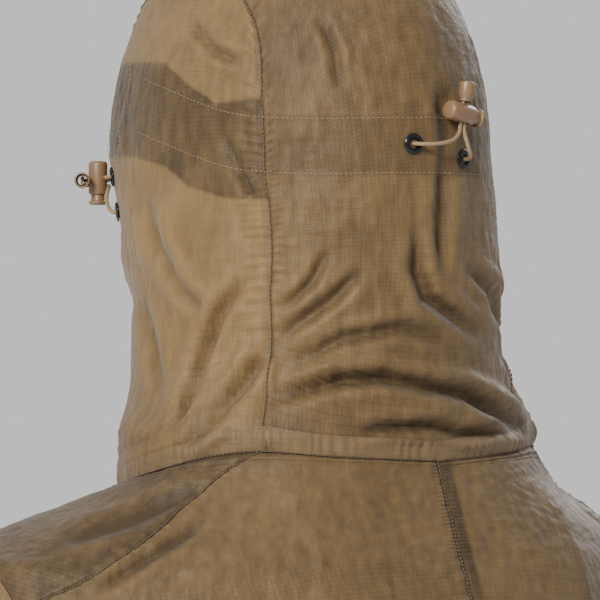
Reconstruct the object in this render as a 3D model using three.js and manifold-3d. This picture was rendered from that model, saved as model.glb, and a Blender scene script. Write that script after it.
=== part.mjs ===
// Hooded over-jacket of a concealment suit, held out as on a wearer.
// Millimetres, +Z up, the front faces -Y and the wearer's left is +X.
// The origin is the middle of the neck ring, level with the side-back of the neck seam.
import * as THREE from 'three';
import { mergeVertices } from 'three/addons/utils/BufferGeometryUtils.js';
import Module from 'manifold-3d';

const wasm = await Module();
wasm.setup();

// ---- Driving dimensions ----------------------------------------------------------------
const CLOTH = 1.2;             // wall that stands for one sewn layer of fabric
const SEAM_GAP = 0.35;         // half of the gap left between two panels along a seam
const LAYER_GAP = 1.9;         // free space on each side of a cord inside a tunnel

const HEAD_HALF_WIDTH = 86;    // hood at brow height, across
const HEAD_HALF_DEPTH = 111;   // hood at brow height, front to back
const HEAD_CENTRE_Y = -33;
const BROW_HEIGHT = 140;
const CROWN_RISE = 130;        // crown above brow height

const NECK_HALF_WIDTH = 112;
const NECK_BACK = 85;          // neck ring's reach behind its centre line

const NECK_CENTRE_Y = -7;
const NECK_FRONT_HEIGHT = -40;
const NECK_BAND_DEPTH = 7.6;     // the doubled band lies this far under the outer face
const NECK_BAND_HEIGHT = 9;

const HEM_HEIGHT = -640;       // lower edge of the body panels
const HEM_BAND_WIDTH = 24;
const CHEST_HALF_WIDTH = 192;
const HEM_HALF_WIDTH = 205;
const SHOULDER_HALF_WIDTH = 208;
const SHOULDER_FORWARD = 0.3;  // how far the shoulders come forward per unit across
const SHOULDER_START = 80;

const ARMHOLE_CENTRE = new THREE.Vector3(199, -25, -152);
const ARMHOLE_HALF_HEIGHT = 92;
const ARMHOLE_HALF_DEPTH = 58;
const ARMHOLE_LEAN = 6;
const ARM_START = new THREE.Vector3(186, -27, -112);
const ARM_DIRECTION = new THREE.Vector3(0.5, -0.07, -0.863).normalize();
const SLEEVE_LENGTH = 560;
const SLEEVE_TOP_RADIUS = 60;
const SLEEVE_END_RADIUS = 46;
const SLEEVE_FIRST_RING = 135;
const SLEEVE_GAP = 3;          // the sleeve starts this far outside the armhole seam
const CUFF_LENGTH = 42;
const CUFF_RADIUS = 42;

const ZIP_TOP = new THREE.Vector3(0, -96, 45);
const ZIP_BOTTOM_Y = -135;
const COIL_WIDTH = 1.9;
const COIL_DEPTH = 2.3;
const COIL_GAP = 0.15;
const TAPE_WIDTH = 9;
const TAPE_THICKNESS = 0.8;
const TAPE_CLEARANCE = 0.6;      // between the coil and its tape
const FRONT_EDGE_X = 4.8;      // front panels stop here, clear of the slider
const SLIDER_LENGTH = 9;
const SLIDER_WALL = 1.3;
const SLIDER_CLEARANCE = 0.45;
const SLIDER_DROP = 9;         // slider's middle below the top of the coil when closed
const BAIL_HEIGHT = 3.4;
const PULL_LENGTH = 24;

const CORD_DIAMETER = 2;
const EYELET_FLANGE_RADIUS = 5.1;
const EYELET_HOLE_RADIUS = 2.4;
const EYELET_WALL = 0.6;
const EYELET_LIP = 0.9;
const EYELET_CLEARANCE = 0.5;
const EYELET_SEAT = 1;

const LOCK_RADIUS = 4.8;
const LOCK_LENGTH = 17;
const LOCK_WALL = 0.9;
const LOCK_END_WALL = 1.6;
const LOCK_TRAVEL = 3;
const LOCK_SLOT = 6;
const LOCK_SLOT_WIDTH = 3.2;
const LOCK_SLOT_AT = 11.3;
const PLUNGER_CLEARANCE = 0.4;
const PLUNGER_HEAD = 2.2;
const SPRING_WIRE = 0.4;
const BELL_RADIUS = 4;
const BELL_LENGTH = 9.6;
const BELL_NECK_WALL = 0.45;
const STRAND_CLEARANCE = 0.4;   // between two strands that run side by side
const STRAND_SPACING = CORD_DIAMETER + STRAND_CLEARANCE;

const BAND_DEPTH = CLOTH + 2 * LAYER_GAP + CORD_DIAMETER;   // outer face of an inner facing
const CORD_DEPTH = CLOTH + LAYER_GAP + CORD_DIAMETER / 2;   // middle of a cord in a tunnel
const RUN_START = CORD_DEPTH - 0.9;                         // where a tunnel's cord meets its free strand

// ---- Materials -------------------------------------------------------------------------
const finish = (color, roughness, metalness = 0) =>
  new THREE.MeshStandardMaterial({ color, roughness, metalness });
const ripstop = finish(0x8a7352, 0.85);
const elasticBand = finish(0x7d6f58, 0.9);
const zipTape = finish(0x6f5c40, 0.9);
const coyotePlastic = finish(0x8b6f4c, 0.5);
const darkMetal = finish(0x26241f, 0.3, 0.9);
const zipMetal = finish(0x3a352c, 0.4, 0.9);
const springSteel = finish(0x9a9a98, 0.3, 1);
const elasticCord = finish(0xa58a62, 0.75);

const suit = new THREE.Group();
function put(parent, name, geometry, material) {
  const mesh = new THREE.Mesh(geometry, material);
  mesh.name = name;
  parent.add(mesh);
  return mesh;
}

// ---- Small tools -----------------------------------------------------------------------
const vec = (x, y, z) => new THREE.Vector3(x, y, z);
const mix = (a, b, t) => a + (b - a) * t;
const clamp01 = (t) => Math.min(1, Math.max(0, t));
const smooth = (t) => clamp01(t) ** 2 * (3 - 2 * clamp01(t));
const radians = THREE.MathUtils.degToRad;

/** Smooth curve through [at, value] keys, held flat past its ends. */
function along(keys, at) {
  if (at <= keys[0][0]) return keys[0][1];
  const last = keys.length - 1;
  if (at >= keys[last][0]) return keys[last][1];
  const i = keys.findIndex((key) => key[0] > at) - 1;
  const slope = (j) => {
    if (j <= 0 || j >= last) return 0;
    return (keys[j + 1][1] - keys[j - 1][1]) / (keys[j + 1][0] - keys[j - 1][0]);
  };
  const span = keys[i + 1][0] - keys[i][0];
  const t = (at - keys[i][0]) / span;
  const rise = keys[i + 1][1] - keys[i][1];
  const lead = i === 0 ? rise / span : slope(i);
  const tail = i + 1 === last ? rise / span : slope(i + 1);
  return keys[i][1] + rise * t * t * (3 - 2 * t)
    + span * (lead * t * (1 - t) ** 2 - tail * t * t * (1 - t));
}

function bare(geometry) {
  const copy = geometry.index ? geometry.toNonIndexed() : geometry.clone();
  for (const name of ['normal', 'uv', 'uv1']) copy.deleteAttribute(name);
  return mergeVertices(copy, 1e-4);
}

function solid(geometry) {
  const merged = bare(geometry);
  return new wasm.Manifold(new wasm.Mesh({
    numProp: 3,
    vertProperties: new Float32Array(merged.attributes.position.array),
    triVerts: new Uint32Array(merged.index.array),
  }));
}

function geometryOf(manifold) {
  const mesh = manifold.getMesh();
  const points = [];
  for (let i = 0; i < mesh.vertProperties.length; i += mesh.numProp) {
    points.push(mesh.vertProperties[i], mesh.vertProperties[i + 1], mesh.vertProperties[i + 2]);
  }
  const geometry = new THREE.BufferGeometry();
  geometry.setAttribute('position', new THREE.Float32BufferAttribute(points, 3));
  geometry.setIndex(Array.from(mesh.triVerts));
  return geometry;
}

/** Cuts round holes through a panel, each along the surface normal at its point. */
function pierced(geometry, holes, radius) {
  let body = solid(geometry);
  for (const hole of holes) {
    const drill = new THREE.CylinderGeometry(radius, radius, 12, 20);
    drill.applyQuaternion(new THREE.Quaternion().setFromUnitVectors(vec(0, 1, 0), hole.normal));
    drill.translate(hole.point.x, hole.point.y, hole.point.z);
    body = body.subtract(solid(drill));
  }
  return geometryOf(body);
}

// ---- The forms that the cloth follows --------------------------------------------------
const zipSlope = (ZIP_TOP.y - ZIP_BOTTOM_Y) / (ZIP_TOP.z - HEM_HEIGHT);
const frontLine = (z) => ZIP_TOP.y - (ZIP_TOP.z - z) * zipSlope;
const NECK_FRONT_Y = frontLine(NECK_FRONT_HEIGHT);

const HOOD_HEART = vec(0, -27, 110);
const TORSO_HEART = vec(0, -5, -150);

const hoodHalfWidth = [[0, NECK_HALF_WIDTH], [20, 97], [41, 91.5], [85, 90],
  [BROW_HEIGHT, HEAD_HALF_WIDTH]];
const hoodBackReach = [[0, NECK_BACK], [20, 93], [41, 98], [85, 101], [BROW_HEIGHT, HEAD_HALF_DEPTH]];
const hoodFrontReach = [[0, NECK_CENTRE_Y - NECK_FRONT_Y], [20, 96], [41, 98], [85, 101],
  [BROW_HEIGHT, HEAD_HALF_DEPTH]];
const hoodCentreLine = [[0, NECK_CENTRE_Y], [20, -14], [41, -20], [85, -22],
  [BROW_HEIGHT, HEAD_CENTRE_Y]];

/** Below 1 inside the hood's form, above 1 outside it. */
function hoodForm(p) {
  const z = Math.min(p.z, BROW_HEIGHT);
  const rise = Math.max(0, p.z - BROW_HEIGHT) / CROWN_RISE;
  const x = p.x / along(hoodHalfWidth, z);
  const back = p.y - along(hoodCentreLine, z);
  const y = back / along(back > 0 ? hoodBackReach : hoodFrontReach, z);
  return Math.sqrt(x * x + y * y + rise * rise);
}

const torsoHalfWidth = [[HEM_HEIGHT, HEM_HALF_WIDTH], [-450, 200], [-300, 195],
  [-235, CHEST_HALF_WIDTH], [-180, 200], [-120, 206], [-90, SHOULDER_HALF_WIDTH], [-63, 205],
  [-55, 191], [-45, 167], [-33, 136], [-17, 113], [0, NECK_HALF_WIDTH - 4]];
const torsoBack = [[HEM_HEIGHT, 124], [-450, 118], [-300, 122], [-200, 124], [-130, 117],
  [-84, 105], [-54, 94], [-30, 84], [-13, 78], [0, 74]];
const TORSO_SQUARENESS = 2.3;

function torsoForm(p) {
  const back = along(torsoBack, p.z);
  const front = frontLine(p.z);
  const forward = SHOULDER_FORWARD * Math.max(0, Math.abs(p.x) - SHOULDER_START)
    * smooth((p.z + 300) / 180);
  const x = Math.abs(p.x) / along(torsoHalfWidth, p.z);
  const y = Math.abs(p.y + forward - (back + front) / 2) / ((back - front) / 2);
  return (x ** TORSO_SQUARENESS + y ** TORSO_SQUARENESS) ** (1 / TORSO_SQUARENESS);
}

/** Where the ray from a form's heart leaves the form. */
function cast(form, heart, direction) {
  const way = direction.clone().normalize();
  const at = (t) => heart.clone().addScaledVector(way, t);
  let near = 0;
  let far = 6;
  while (form(at(far)) < 1 && far < 900) {
    near = far;
    far += 6;
  }
  for (let i = 0; i < 30; i += 1) {
    const middle = (near + far) / 2;
    if (form(at(middle)) < 1) near = middle;
    else far = middle;
  }
  return at(far);
}

function normalOf(form, p) {
  const step = 0.5;
  const slope = (d) => form(p.clone().add(d)) - form(p.clone().sub(d));
  return vec(slope(vec(step, 0, 0)), slope(vec(0, step, 0)), slope(vec(0, 0, step))).normalize();
}

const hoodAt = (direction) => cast(hoodForm, HOOD_HEART, direction);
const hoodToward = (point) => hoodAt(point.clone().sub(HOOD_HEART));
const hoodInside = (point, depth) => point.clone().addScaledVector(normalOf(hoodForm, point), -depth);

// ---- Cloth panels as closed shells -----------------------------------------------------
/** A closed shell from rows of { outer, inner } points; closedRows joins each row's ends. */
function shell(rows, closedRows = false) {
  const across = rows[0].length;
  const points = [];
  for (const side of ['outer', 'inner']) {
    for (const row of rows) for (const spot of row) points.push(...spot[side].toArray());
  }
  const offset = rows.length * across;
  const at = (i, j) => i * across + (j % across);
  const faces = [];
  const quad = (a, b, c, d) => faces.push(a, b, c, a, c, d);
  const columns = closedRows ? across : across - 1;
  for (let i = 0; i + 1 < rows.length; i += 1) {
    for (let j = 0; j < columns; j += 1) {
      quad(at(i, j), at(i, j + 1), at(i + 1, j + 1), at(i + 1, j));
      quad(offset + at(i, j), offset + at(i + 1, j), offset + at(i + 1, j + 1),
        offset + at(i, j + 1));
    }
    if (!closedRows) {
      quad(at(i, 0), at(i + 1, 0), offset + at(i + 1, 0), offset + at(i, 0));
      const end = across - 1;
      quad(at(i, end), offset + at(i, end), offset + at(i + 1, end), at(i + 1, end));
    }
  }
  const bottom = rows.length - 1;
  for (let j = 0; j < columns; j += 1) {
    quad(at(0, j), offset + at(0, j), offset + at(0, j + 1), at(0, j + 1));
    quad(at(bottom, j), at(bottom, j + 1), offset + at(bottom, j + 1), offset + at(bottom, j));
  }
  return facingOut(points, faces);
}

/** A closed shell over a disc: rings from the rim to the one spot in the middle. */
function discShell(rings, middle) {
  const around = rings[0].length;
  const points = [];
  for (const side of ['outer', 'inner']) {
    for (const ring of rings) for (const spot of ring) points.push(...spot[side].toArray());
    points.push(...middle[side].toArray());
  }
  const offset = rings.length * around + 1;
  const at = (i, j) => i * around + (j % around);
  const faces = [];
  const quad = (a, b, c, d) => faces.push(a, b, c, a, c, d);
  for (let j = 0; j < around; j += 1) {
    for (let i = 0; i + 1 < rings.length; i += 1) {
      quad(at(i, j), at(i, j + 1), at(i + 1, j + 1), at(i + 1, j));
      quad(offset + at(i, j), offset + at(i + 1, j), offset + at(i + 1, j + 1),
        offset + at(i, j + 1));
    }
    const inmost = rings.length - 1;
    faces.push(at(inmost, j), at(inmost, j + 1), offset - 1);
    faces.push(offset + at(inmost, j), 2 * offset - 1, offset + at(inmost, j + 1));
    quad(at(0, j), offset + at(0, j), offset + at(0, j + 1), at(0, j + 1));
  }
  return facingOut(points, faces);
}

/** Turns the faces round if the closed body came out inside out. */
function facingOut(points, faces) {
  const corner = (i) => vec(points[3 * i], points[3 * i + 1], points[3 * i + 2]);
  let volume = 0;
  for (let i = 0; i < faces.length; i += 3) {
    volume += corner(faces[i]).dot(corner(faces[i + 1]).cross(corner(faces[i + 2])));
  }
  if (volume < 0) {
    for (let i = 0; i < faces.length; i += 3) {
      [faces[i + 1], faces[i + 2]] = [faces[i + 2], faces[i + 1]];
    }
  }
  const geometry = new THREE.BufferGeometry();
  geometry.setAttribute('position', new THREE.Float32BufferAttribute(points, 3));
  geometry.setIndex(faces);
  return geometry;
}

function layer(form, point, from = 0, thickness = CLOTH) {
  const normal = normalOf(form, point);
  return {
    outer: point.clone().addScaledVector(normal, -from),
    inner: point.clone().addScaledVector(normal, -from - thickness),
  };
}

/** Moves a grid's rim towards its own middle by the seam gap. */
function pulledIn(rows, gap = SEAM_GAP) {
  const towards = (a, b) => a.lerp(b, Math.min(0.4, gap / Math.max(a.distanceTo(b), 1e-6)));
  const last = rows.length - 1;
  for (const row of rows) {
    const end = row.length - 1;
    const inner = [row[1].clone(), row[end - 1].clone()];
    towards(row[0], inner[0]);
    towards(row[end], inner[1]);
  }
  for (let j = 0; j < rows[0].length; j += 1) {
    const inner = [rows[1][j].clone(), rows[last - 1][j].clone()];
    towards(rows[0][j], inner[0]);
    towards(rows[last][j], inner[1]);
  }
  return rows;
}

const mirrored = (geometry) => {
  const copy = geometry.clone();
  copy.scale(-1, 1, 1);
  const index = copy.index.array;
  for (let i = 0; i < index.length; i += 3) [index[i + 1], index[i + 2]] = [index[i + 2], index[i + 1]];
  return copy;
};

// ---- Seam lines ------------------------------------------------------------------------
const SHOULDER_SEAM_TURN = 50.5;   // degrees round the neck ring from the centre back
const FRONT_EDGE_TURN = 177.5;
const HOOD_COLUMNS = 6;            // half of the centre panel, and one back panel
const FRONT_COLUMNS = 8;
const HOOD_ROWS = 20;
const SHOULDER_ROWS = 6;
const BACK_ARMHOLE_ROWS = 8;
const FRONT_ARMHOLE_ROWS = 12;
const SIDE_ROWS = 7;
const SHOULDER_SEAM_RING = 40;     // degrees round the armhole from its top, towards the back

const neckHeight = [[0, -13], [30, -10], [50, -7.5], [65, -10], [82, -16], [120, -28],
  [FRONT_EDGE_TURN, NECK_FRONT_HEIGHT]];

/** A point on the neck seam, turn degrees from the centre back towards the wearer's left. */
function neckSeam(turn) {
  const angle = radians(turn);
  const reach = Math.cos(angle) > 0 ? NECK_BACK : NECK_CENTRE_Y - NECK_FRONT_Y;
  return vec(
    NECK_HALF_WIDTH * Math.sin(angle),
    NECK_CENTRE_Y + reach * Math.cos(angle),
    along(neckHeight, Math.abs(turn)),
  );
}

/** Angles from the hood's heart: swing is up and over from the back, lean is to the side. */
function hoodAngles(point) {
  const d = point.clone().sub(HOOD_HEART);
  return { swing: Math.atan2(d.z, d.y), lean: Math.atan2(d.x, Math.hypot(d.y, d.z)) };
}
const hoodWay = (swing, lean) =>
  vec(Math.sin(lean), Math.cos(lean) * Math.cos(swing), Math.cos(lean) * Math.sin(swing));

const seamFoot = hoodAngles(neckSeam(SHOULDER_SEAM_TURN));
const seamLean = [[THREE.MathUtils.radToDeg(seamFoot.swing), THREE.MathUtils.radToDeg(seamFoot.lean)],
  [-46, 37.6], [-28, 44.5], [14, 49.3], [42, 43.3], [62, 34], [74, 30.3], [90, 26], [129, 24]];
const BRIM_SWING = 132;
const BRIM_SEAM_SWING = 129;

/** The hood's centre panel: across -1 to 1, up 0 at the neck to 1 at the brim. */
function hoodCentreAt(across, up) {
  const foot = neckSeam(across * SHOULDER_SEAM_TURN);
  const start = hoodAngles(foot);
  const brim = radians(mix(BRIM_SWING, BRIM_SEAM_SWING, across * across));
  const seamSwing = mix(seamFoot.swing, radians(BRIM_SEAM_SWING), up);
  const lean = radians(along(seamLean, THREE.MathUtils.radToDeg(seamSwing)));
  const spare = (start.lean - across * seamFoot.lean) * (1 - up) ** 2;
  const point = hoodAt(hoodWay(mix(start.swing, brim, up), across * lean + spare));
  return point.addScaledVector(foot.sub(hoodToward(foot)), (1 - up) ** 6);
}

const frontEdge = (z) => vec(FRONT_EDGE_X, frontLine(z), z);
const chin = [frontEdge(ZIP_TOP.z), vec(16, -101, 47), vec(32, -108, 54), vec(45, -111, 66)];
const cheek = [vec(53, -110, 84), vec(57, -111, 106), vec(60, -114, 130), vec(61, -113, 155),
  vec(59, -110, 180)].map(hoodToward);

// ---- Hood ------------------------------------------------------------------------------
function hoodCentre() {
  const rows = [];
  for (let i = 0; i <= HOOD_ROWS; i += 1) {
    const row = [];
    for (let j = -HOOD_COLUMNS; j <= HOOD_COLUMNS; j += 1) {
      row.push(hoodCentreAt(j / HOOD_COLUMNS, i / HOOD_ROWS));
    }
    rows.push(row);
  }
  return shell(pulledIn(rows).map((row) => row.map((p) => layer(hoodForm, p))));
}

function hoodSideRim() {
  const rim = [];
  for (let j = 0; j <= FRONT_COLUMNS; j += 1) {
    rim.push(neckSeam(mix(SHOULDER_SEAM_TURN, FRONT_EDGE_TURN, j / FRONT_COLUMNS)));
  }
  for (const share of [1 / 3, 2 / 3]) rim.push(frontEdge(mix(NECK_FRONT_HEIGHT, ZIP_TOP.z, share)));
  rim.push(...chin, ...cheek);
  for (let i = HOOD_ROWS; i > 0; i -= 1) rim.push(hoodCentreAt(1, i / HOOD_ROWS));
  return rim;
}

const EAR_WAY = vec(1, 0, 0);
const SIDE_RINGS = 5;

function hoodSide() {
  const rim = hoodSideRim();
  const ways = rim.map((p) => p.clone().sub(HOOD_HEART).normalize());
  const rings = [];
  for (let i = 0; i < SIDE_RINGS; i += 1) {
    const out = 1 - i / SIDE_RINGS;
    rings.push(rim.map((p, j) => {
      const point = hoodAt(ways[j].clone().lerp(EAR_WAY, 1 - out));
      return point.addScaledVector(p.clone().sub(hoodToward(p)), out ** 3);
    }));
  }
  rings[0].forEach((p, j) => p.lerp(rings[1][j], SEAM_GAP * 1.4 / p.distanceTo(rings[1][j])));
  const middle = layer(hoodForm, hoodAt(EAR_WAY));
  return discShell(rings.map((ring) => ring.map((p) => layer(hoodForm, p))), middle);
}

// ---- Eyelets ---------------------------------------------------------------------------
/** A spot on the hood at a turn round from the centre back and a height. */
function hoodSpot(turn, height) {
  const z = Math.min(height, BROW_HEIGHT);
  const rise = Math.sqrt(Math.max(0, 1 - (Math.max(0, height - BROW_HEIGHT) / CROWN_RISE) ** 2));
  const angle = radians(turn);
  const reach = Math.cos(angle) > 0 ? hoodBackReach : hoodFrontReach;
  const point = vec(
    along(hoodHalfWidth, z) * rise * Math.sin(angle),
    along(hoodCentreLine, z) + along(reach, z) * rise * Math.cos(angle),
    height,
  );
  return { point, normal: normalOf(hoodForm, point) };
}

const EYELETS = {
  back_eyelet_left: hoodSpot(9.5, 141.5),
  back_eyelet_right: hoodSpot(-12, 134.5),
  face_eyelet_upper_left: hoodSpot(127, 128),
  face_eyelet_lower_left: hoodSpot(127, 110),
  face_eyelet_upper_right: hoodSpot(-127, 128),
  face_eyelet_lower_right: hoodSpot(-127, 110),
};

/** A two-sided eyelet clinched through one layer: flange outside, washer inside. */
function eyelet() {
  const tube = EYELET_HOLE_RADIUS + EYELET_WALL;
  const inside = -CLOTH - EYELET_SEAT;
  const lip = EYELET_SEAT + EYELET_LIP;
  const outline = [
    [EYELET_HOLE_RADIUS, inside - 0.35], [EYELET_FLANGE_RADIUS - 0.6, inside - 0.35],
    [EYELET_FLANGE_RADIUS - 0.6, inside], [tube, inside], [tube, EYELET_SEAT],
    [EYELET_FLANGE_RADIUS, EYELET_SEAT], [EYELET_FLANGE_RADIUS, EYELET_SEAT + 0.35],
    [EYELET_FLANGE_RADIUS - 0.8, lip], [tube + 0.1, lip], [EYELET_HOLE_RADIUS, lip - 0.4],
    [EYELET_HOLE_RADIUS, inside - 0.35],
  ];
  return new THREE.LatheGeometry(outline.map(([r, y]) => new THREE.Vector2(r, y)), 14);
}

// ---- Inner strips of the hood ----------------------------------------------------------
const BAND_REACH = 102;
const BAND_HALF_WIDTH = 15;
const bandHeight = [[0, 141], [60, 142], [90, 157], [BAND_REACH, 163]];
const bandMiddle = (turn) => along(bandHeight, Math.abs(turn));

/** Points of a strip on the hood's inner side, at a depth below its outer face. */
function stripShell(columns, spotAt, depth, thickness) {
  const rows = [-1, 0, 1].map((side) => {
    const row = [];
    for (let j = 0; j <= columns; j += 1) row.push(layer(hoodForm, spotAt(j / columns, side), depth, thickness));
    return row;
  });
  return shell(rows);
}

function hoodBand() {
  const spotAt = (share, side) => {
    const turn = mix(-BAND_REACH, BAND_REACH, share);
    return hoodSpot(turn, bandMiddle(turn) + side * BAND_HALF_WIDTH).point;
  };
  return stripShell(36, spotAt, BAND_DEPTH, CLOTH);
}

function neckBand() {
  const reach = 165;
  const spotAt = (share, side) => {
    const foot = neckSeam(mix(-reach, reach, share));
    foot.z += 3 + (side + 1) / 2 * NECK_BAND_HEIGHT;
    return hoodToward(foot);
  };
  return stripShell(36, spotAt, NECK_BAND_DEPTH, CLOTH);
}

const FACE_HEM_WIDTH = 0.34;

/** Along the face opening: -1 at the right cheek, 0 over the brow, 1 at the left cheek. */
const faceLine = new THREE.CatmullRomCurve3([
  vec(45, -111, 66), ...cheek, hoodCentreAt(1, 1), hoodCentreAt(0.5, 1), hoodCentreAt(0, 1),
  hoodCentreAt(-0.5, 1), hoodCentreAt(-1, 1),
  ...cheek.map((p) => vec(-p.x, p.y, p.z)).reverse(), vec(-45, -111, 66),
], false, 'centripetal');

function faceSpot(share, inward) {
  const edge = faceLine.getPointAt(share);
  const way = edge.clone().sub(HOOD_HEART).normalize();
  const brow = smooth(1 - Math.abs(share - 0.5) / 0.16);
  const side = Math.sign(0.5 - share) || 1;
  const back = vec(side * (1 - brow), 0.15, 0.1 + brow).normalize();
  return hoodAt(way.lerp(back, inward * FACE_HEM_WIDTH));
}

function faceHem() {
  return stripShell(40, (share, side) => faceSpot(share, 0.04 + (side + 1) * 0.48), BAND_DEPTH, CLOTH);
}

// ---- Cords -----------------------------------------------------------------------------
/** A round bar of a few sides swept along a curve. */
function swept(curve, steps, diameter, sides) {
  const section = new THREE.Shape();
  for (let i = 0; i < sides; i += 1) {
    const angle = (2 * Math.PI * i) / sides;
    section[i ? 'lineTo' : 'moveTo'](diameter / 2 * Math.cos(angle), diameter / 2 * Math.sin(angle));
  }
  section.closePath();
  return new THREE.ExtrudeGeometry(section, { steps, bevelEnabled: false, extrudePath: curve });
}

const tube = (points, steps) =>
  swept(new THREE.CatmullRomCurve3(points, false, 'centripetal'), steps, CORD_DIAMETER, 8);

/** The stretch of a drawcord inside its tunnel: in through an eyelet, then along the tunnel. */
function tunnelRun(spot, alongTunnel, steps) {
  const down = (depth) => spot.point.clone().addScaledVector(spot.normal, -depth);
  const first = alongTunnel[0].clone().sub(down(CORD_DEPTH)).normalize();
  const points = [down(RUN_START), down(CORD_DEPTH - 0.3).addScaledVector(first, 1.2), ...alongTunnel];
  return tube(points, steps);
}

const inTunnel = (point) => hoodInside(point, CORD_DEPTH);

function backRun(side) {
  const spot = side > 0 ? EYELETS.back_eyelet_left : EYELETS.back_eyelet_right;
  const start = side > 0 ? 9.5 : 12;
  const end = BAND_REACH - 8;
  const points = [0.05, 0.15, 0.3, 0.45, 0.6, 0.75, 0.9, 1].map((share) => {
    const turn = mix(start, end, share);
    return inTunnel(hoodSpot(side * turn, mix(spot.point.z, bandMiddle(turn), smooth(share * 3))).point);
  });
  return tunnelRun(spot, points, 26);
}

/** The share along the face opening nearest to a spot's height on one cheek. */
function faceShareAt(height, side) {
  let best = 0;
  for (let share = 0; share < 0.5; share += 0.002) {
    const here = faceLine.getPointAt(share).z;
    if (Math.abs(here - height) < Math.abs(faceLine.getPointAt(best).z - height)) best = share;
  }
  return side > 0 ? best : 1 - best;
}

function browRun() {
  const from = faceShareAt(139, 1);
  const points = [];
  for (let i = 0; i <= 16; i += 1) points.push(inTunnel(faceSpot(mix(from, 1 - from, i / 16), 0.5)));
  const left = EYELETS.face_eyelet_upper_left;
  const right = EYELETS.face_eyelet_upper_right;
  const down = (spot, depth) => spot.point.clone().addScaledVector(spot.normal, -depth);
  const lead = (spot) => down(spot, CORD_DEPTH - 0.3).add(vec(0, 0, 1.2));
  return tube([down(left, RUN_START), lead(left), ...points, lead(right), down(right, RUN_START)], 44);
}

function chinRun(side) {
  const spot = side > 0 ? EYELETS.face_eyelet_lower_left : EYELETS.face_eyelet_lower_right;
  const from = faceShareAt(102, 1);
  const to = faceShareAt(76, 1);
  const points = [0, 0.35, 0.7, 1].map((t) => {
    const share = mix(from, to, t);
    return inTunnel(faceSpot(side > 0 ? share : 1 - share, 0.5));
  });
  return tunnelRun(spot, points, 12);
}

// Free stretches, from inside the eyelet to inside the cord end, chosen by hand.
const BACK_STRAND_LEFT = [[13.7, 74.2, 141.5], [14.2, 76.5, 141.5], [14.6, 78.5, 141.5],
  [12.4, 81.2, 141.3], [8.5, 83.8, 141.3], [2, 85.4, 142], [-4.5, 85, 143.8], [-9.3, 83.2, 147.5],
  [-10.8, 82.2, 151.4], [-11.8, 82.1, 156.7], [-12.8, 82, 162], [-13.8, 81.9, 167.3]];
const BACK_STRAND_RIGHT = [[-17.4, 73.4, 134.4], [-17.9, 75.6, 134.5], [-18.4, 77.6, 134.5],
  [-18.2, 80, 134.8], [-16.9, 82.6, 136], [-14.8, 83.9, 139.2], [-13.2, 83.9, 143.5],
  [-12.7, 82.8, 147.5], [-13.2, 82, 151], [-14.2, 81.9, 156.3], [-15.2, 81.8, 161.6],
  [-16.2, 81.7, 166.9]];
const FACE_STRAND_UPPER = [[67.4, -94.7, 128.2], [69.4, -95.9, 128], [71.6, -97.2, 127.8],
  [71.7, -99.6, 127.6], [69.7, -101.9, 127.5], [66.9, -104, 127.2], [64.8, -105.9, 126.7], [65.1, -107.7, 126.2],
  [68.6, -110.4, 126.2], [72.9, -113.7, 126.2], [75.4, -113.9, 126.6], [77.7, -111, 127.4],
  [79.2, -109.1, 127.4]];
const FACE_STRAND_LOWER = [[68.5, -88.6, 110.2], [70.5, -89.8, 110], [72.7, -91.1, 109.9],
  [73, -93, 110.8], [72.3, -96.4, 112.9], [70.9, -99.6, 116.4], [68.8, -102.2, 119.8],
  [66.6, -104.3, 122], [64.8, -106.2, 123.4],
  [65.3, -107.8, 123.8], [68.6, -110.4, 123.8], [72.9, -113.7, 123.9], [75.2, -114, 124.5],
  [76.6, -112.6, 125], [77.7, -111, 125], [79.2, -109.1, 125]];
const strand = (points, side = 1) => tube(points.map(([x, y, z]) => vec(side * x, y, z)), 16);

// ---- Cord locks ------------------------------------------------------------------------
/** A group whose Y axis is the barrel's and whose Z axis is the way the cord goes. */
function lockFrame(slotPoint, barrelWay, cordWay) {
  const y = barrelWay.clone().normalize();
  const x = y.clone().cross(cordWay).normalize();
  const z = x.clone().cross(y);
  const group = new THREE.Group();
  group.quaternion.setFromRotationMatrix(new THREE.Matrix4().makeBasis(x, y, z));
  group.position.copy(slotPoint).addScaledVector(y, -LOCK_SLOT_AT);
  return group;
}

const lathe = (outline, sides = 16) =>
  new THREE.LatheGeometry(outline.map(([r, y]) => new THREE.Vector2(r, y)), sides);

/** A long hole with round ends, through a barrel along Z. */
function slotCutter(width, length, at) {
  const half = (length - width) / 2;
  const outline = new THREE.Shape();
  outline.absarc(0, half, width / 2, 0, Math.PI);
  outline.absarc(0, -half, width / 2, Math.PI, 2 * Math.PI);
  const cutter = new THREE.ExtrudeGeometry(outline, { depth: 20, bevelEnabled: false, curveSegments: 4 });
  cutter.translate(0, at, -10);
  return cutter;
}

const LOCK_BORE = LOCK_RADIUS - LOCK_WALL;
const PLUNGER_RADIUS = LOCK_BORE - PLUNGER_CLEARANCE;
const POCKET_RADIUS = PLUNGER_RADIUS - 0.5;   // the spring seats in a pocket in the plunger
const POCKET_DEPTH = 2.2;
const PLUNGER_START = LOCK_END_WALL + LOCK_TRAVEL + 0.5;
const PLUNGER_TOP = LOCK_LENGTH + LOCK_TRAVEL + 0.3;

function lockBarrel() {
  const round = 1.2;
  const body = solid(lathe([
    [0, 0], [LOCK_RADIUS - round, 0], [LOCK_RADIUS - 0.35, 0.35], [LOCK_RADIUS, round],
    [LOCK_RADIUS, LOCK_LENGTH - 0.4], [LOCK_RADIUS - 0.3, LOCK_LENGTH], [LOCK_BORE, LOCK_LENGTH],
    [LOCK_BORE, LOCK_END_WALL], [0, LOCK_END_WALL],
  ]));
  return geometryOf(body.subtract(solid(slotCutter(LOCK_SLOT_WIDTH, LOCK_SLOT, LOCK_SLOT_AT))));
}

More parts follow.
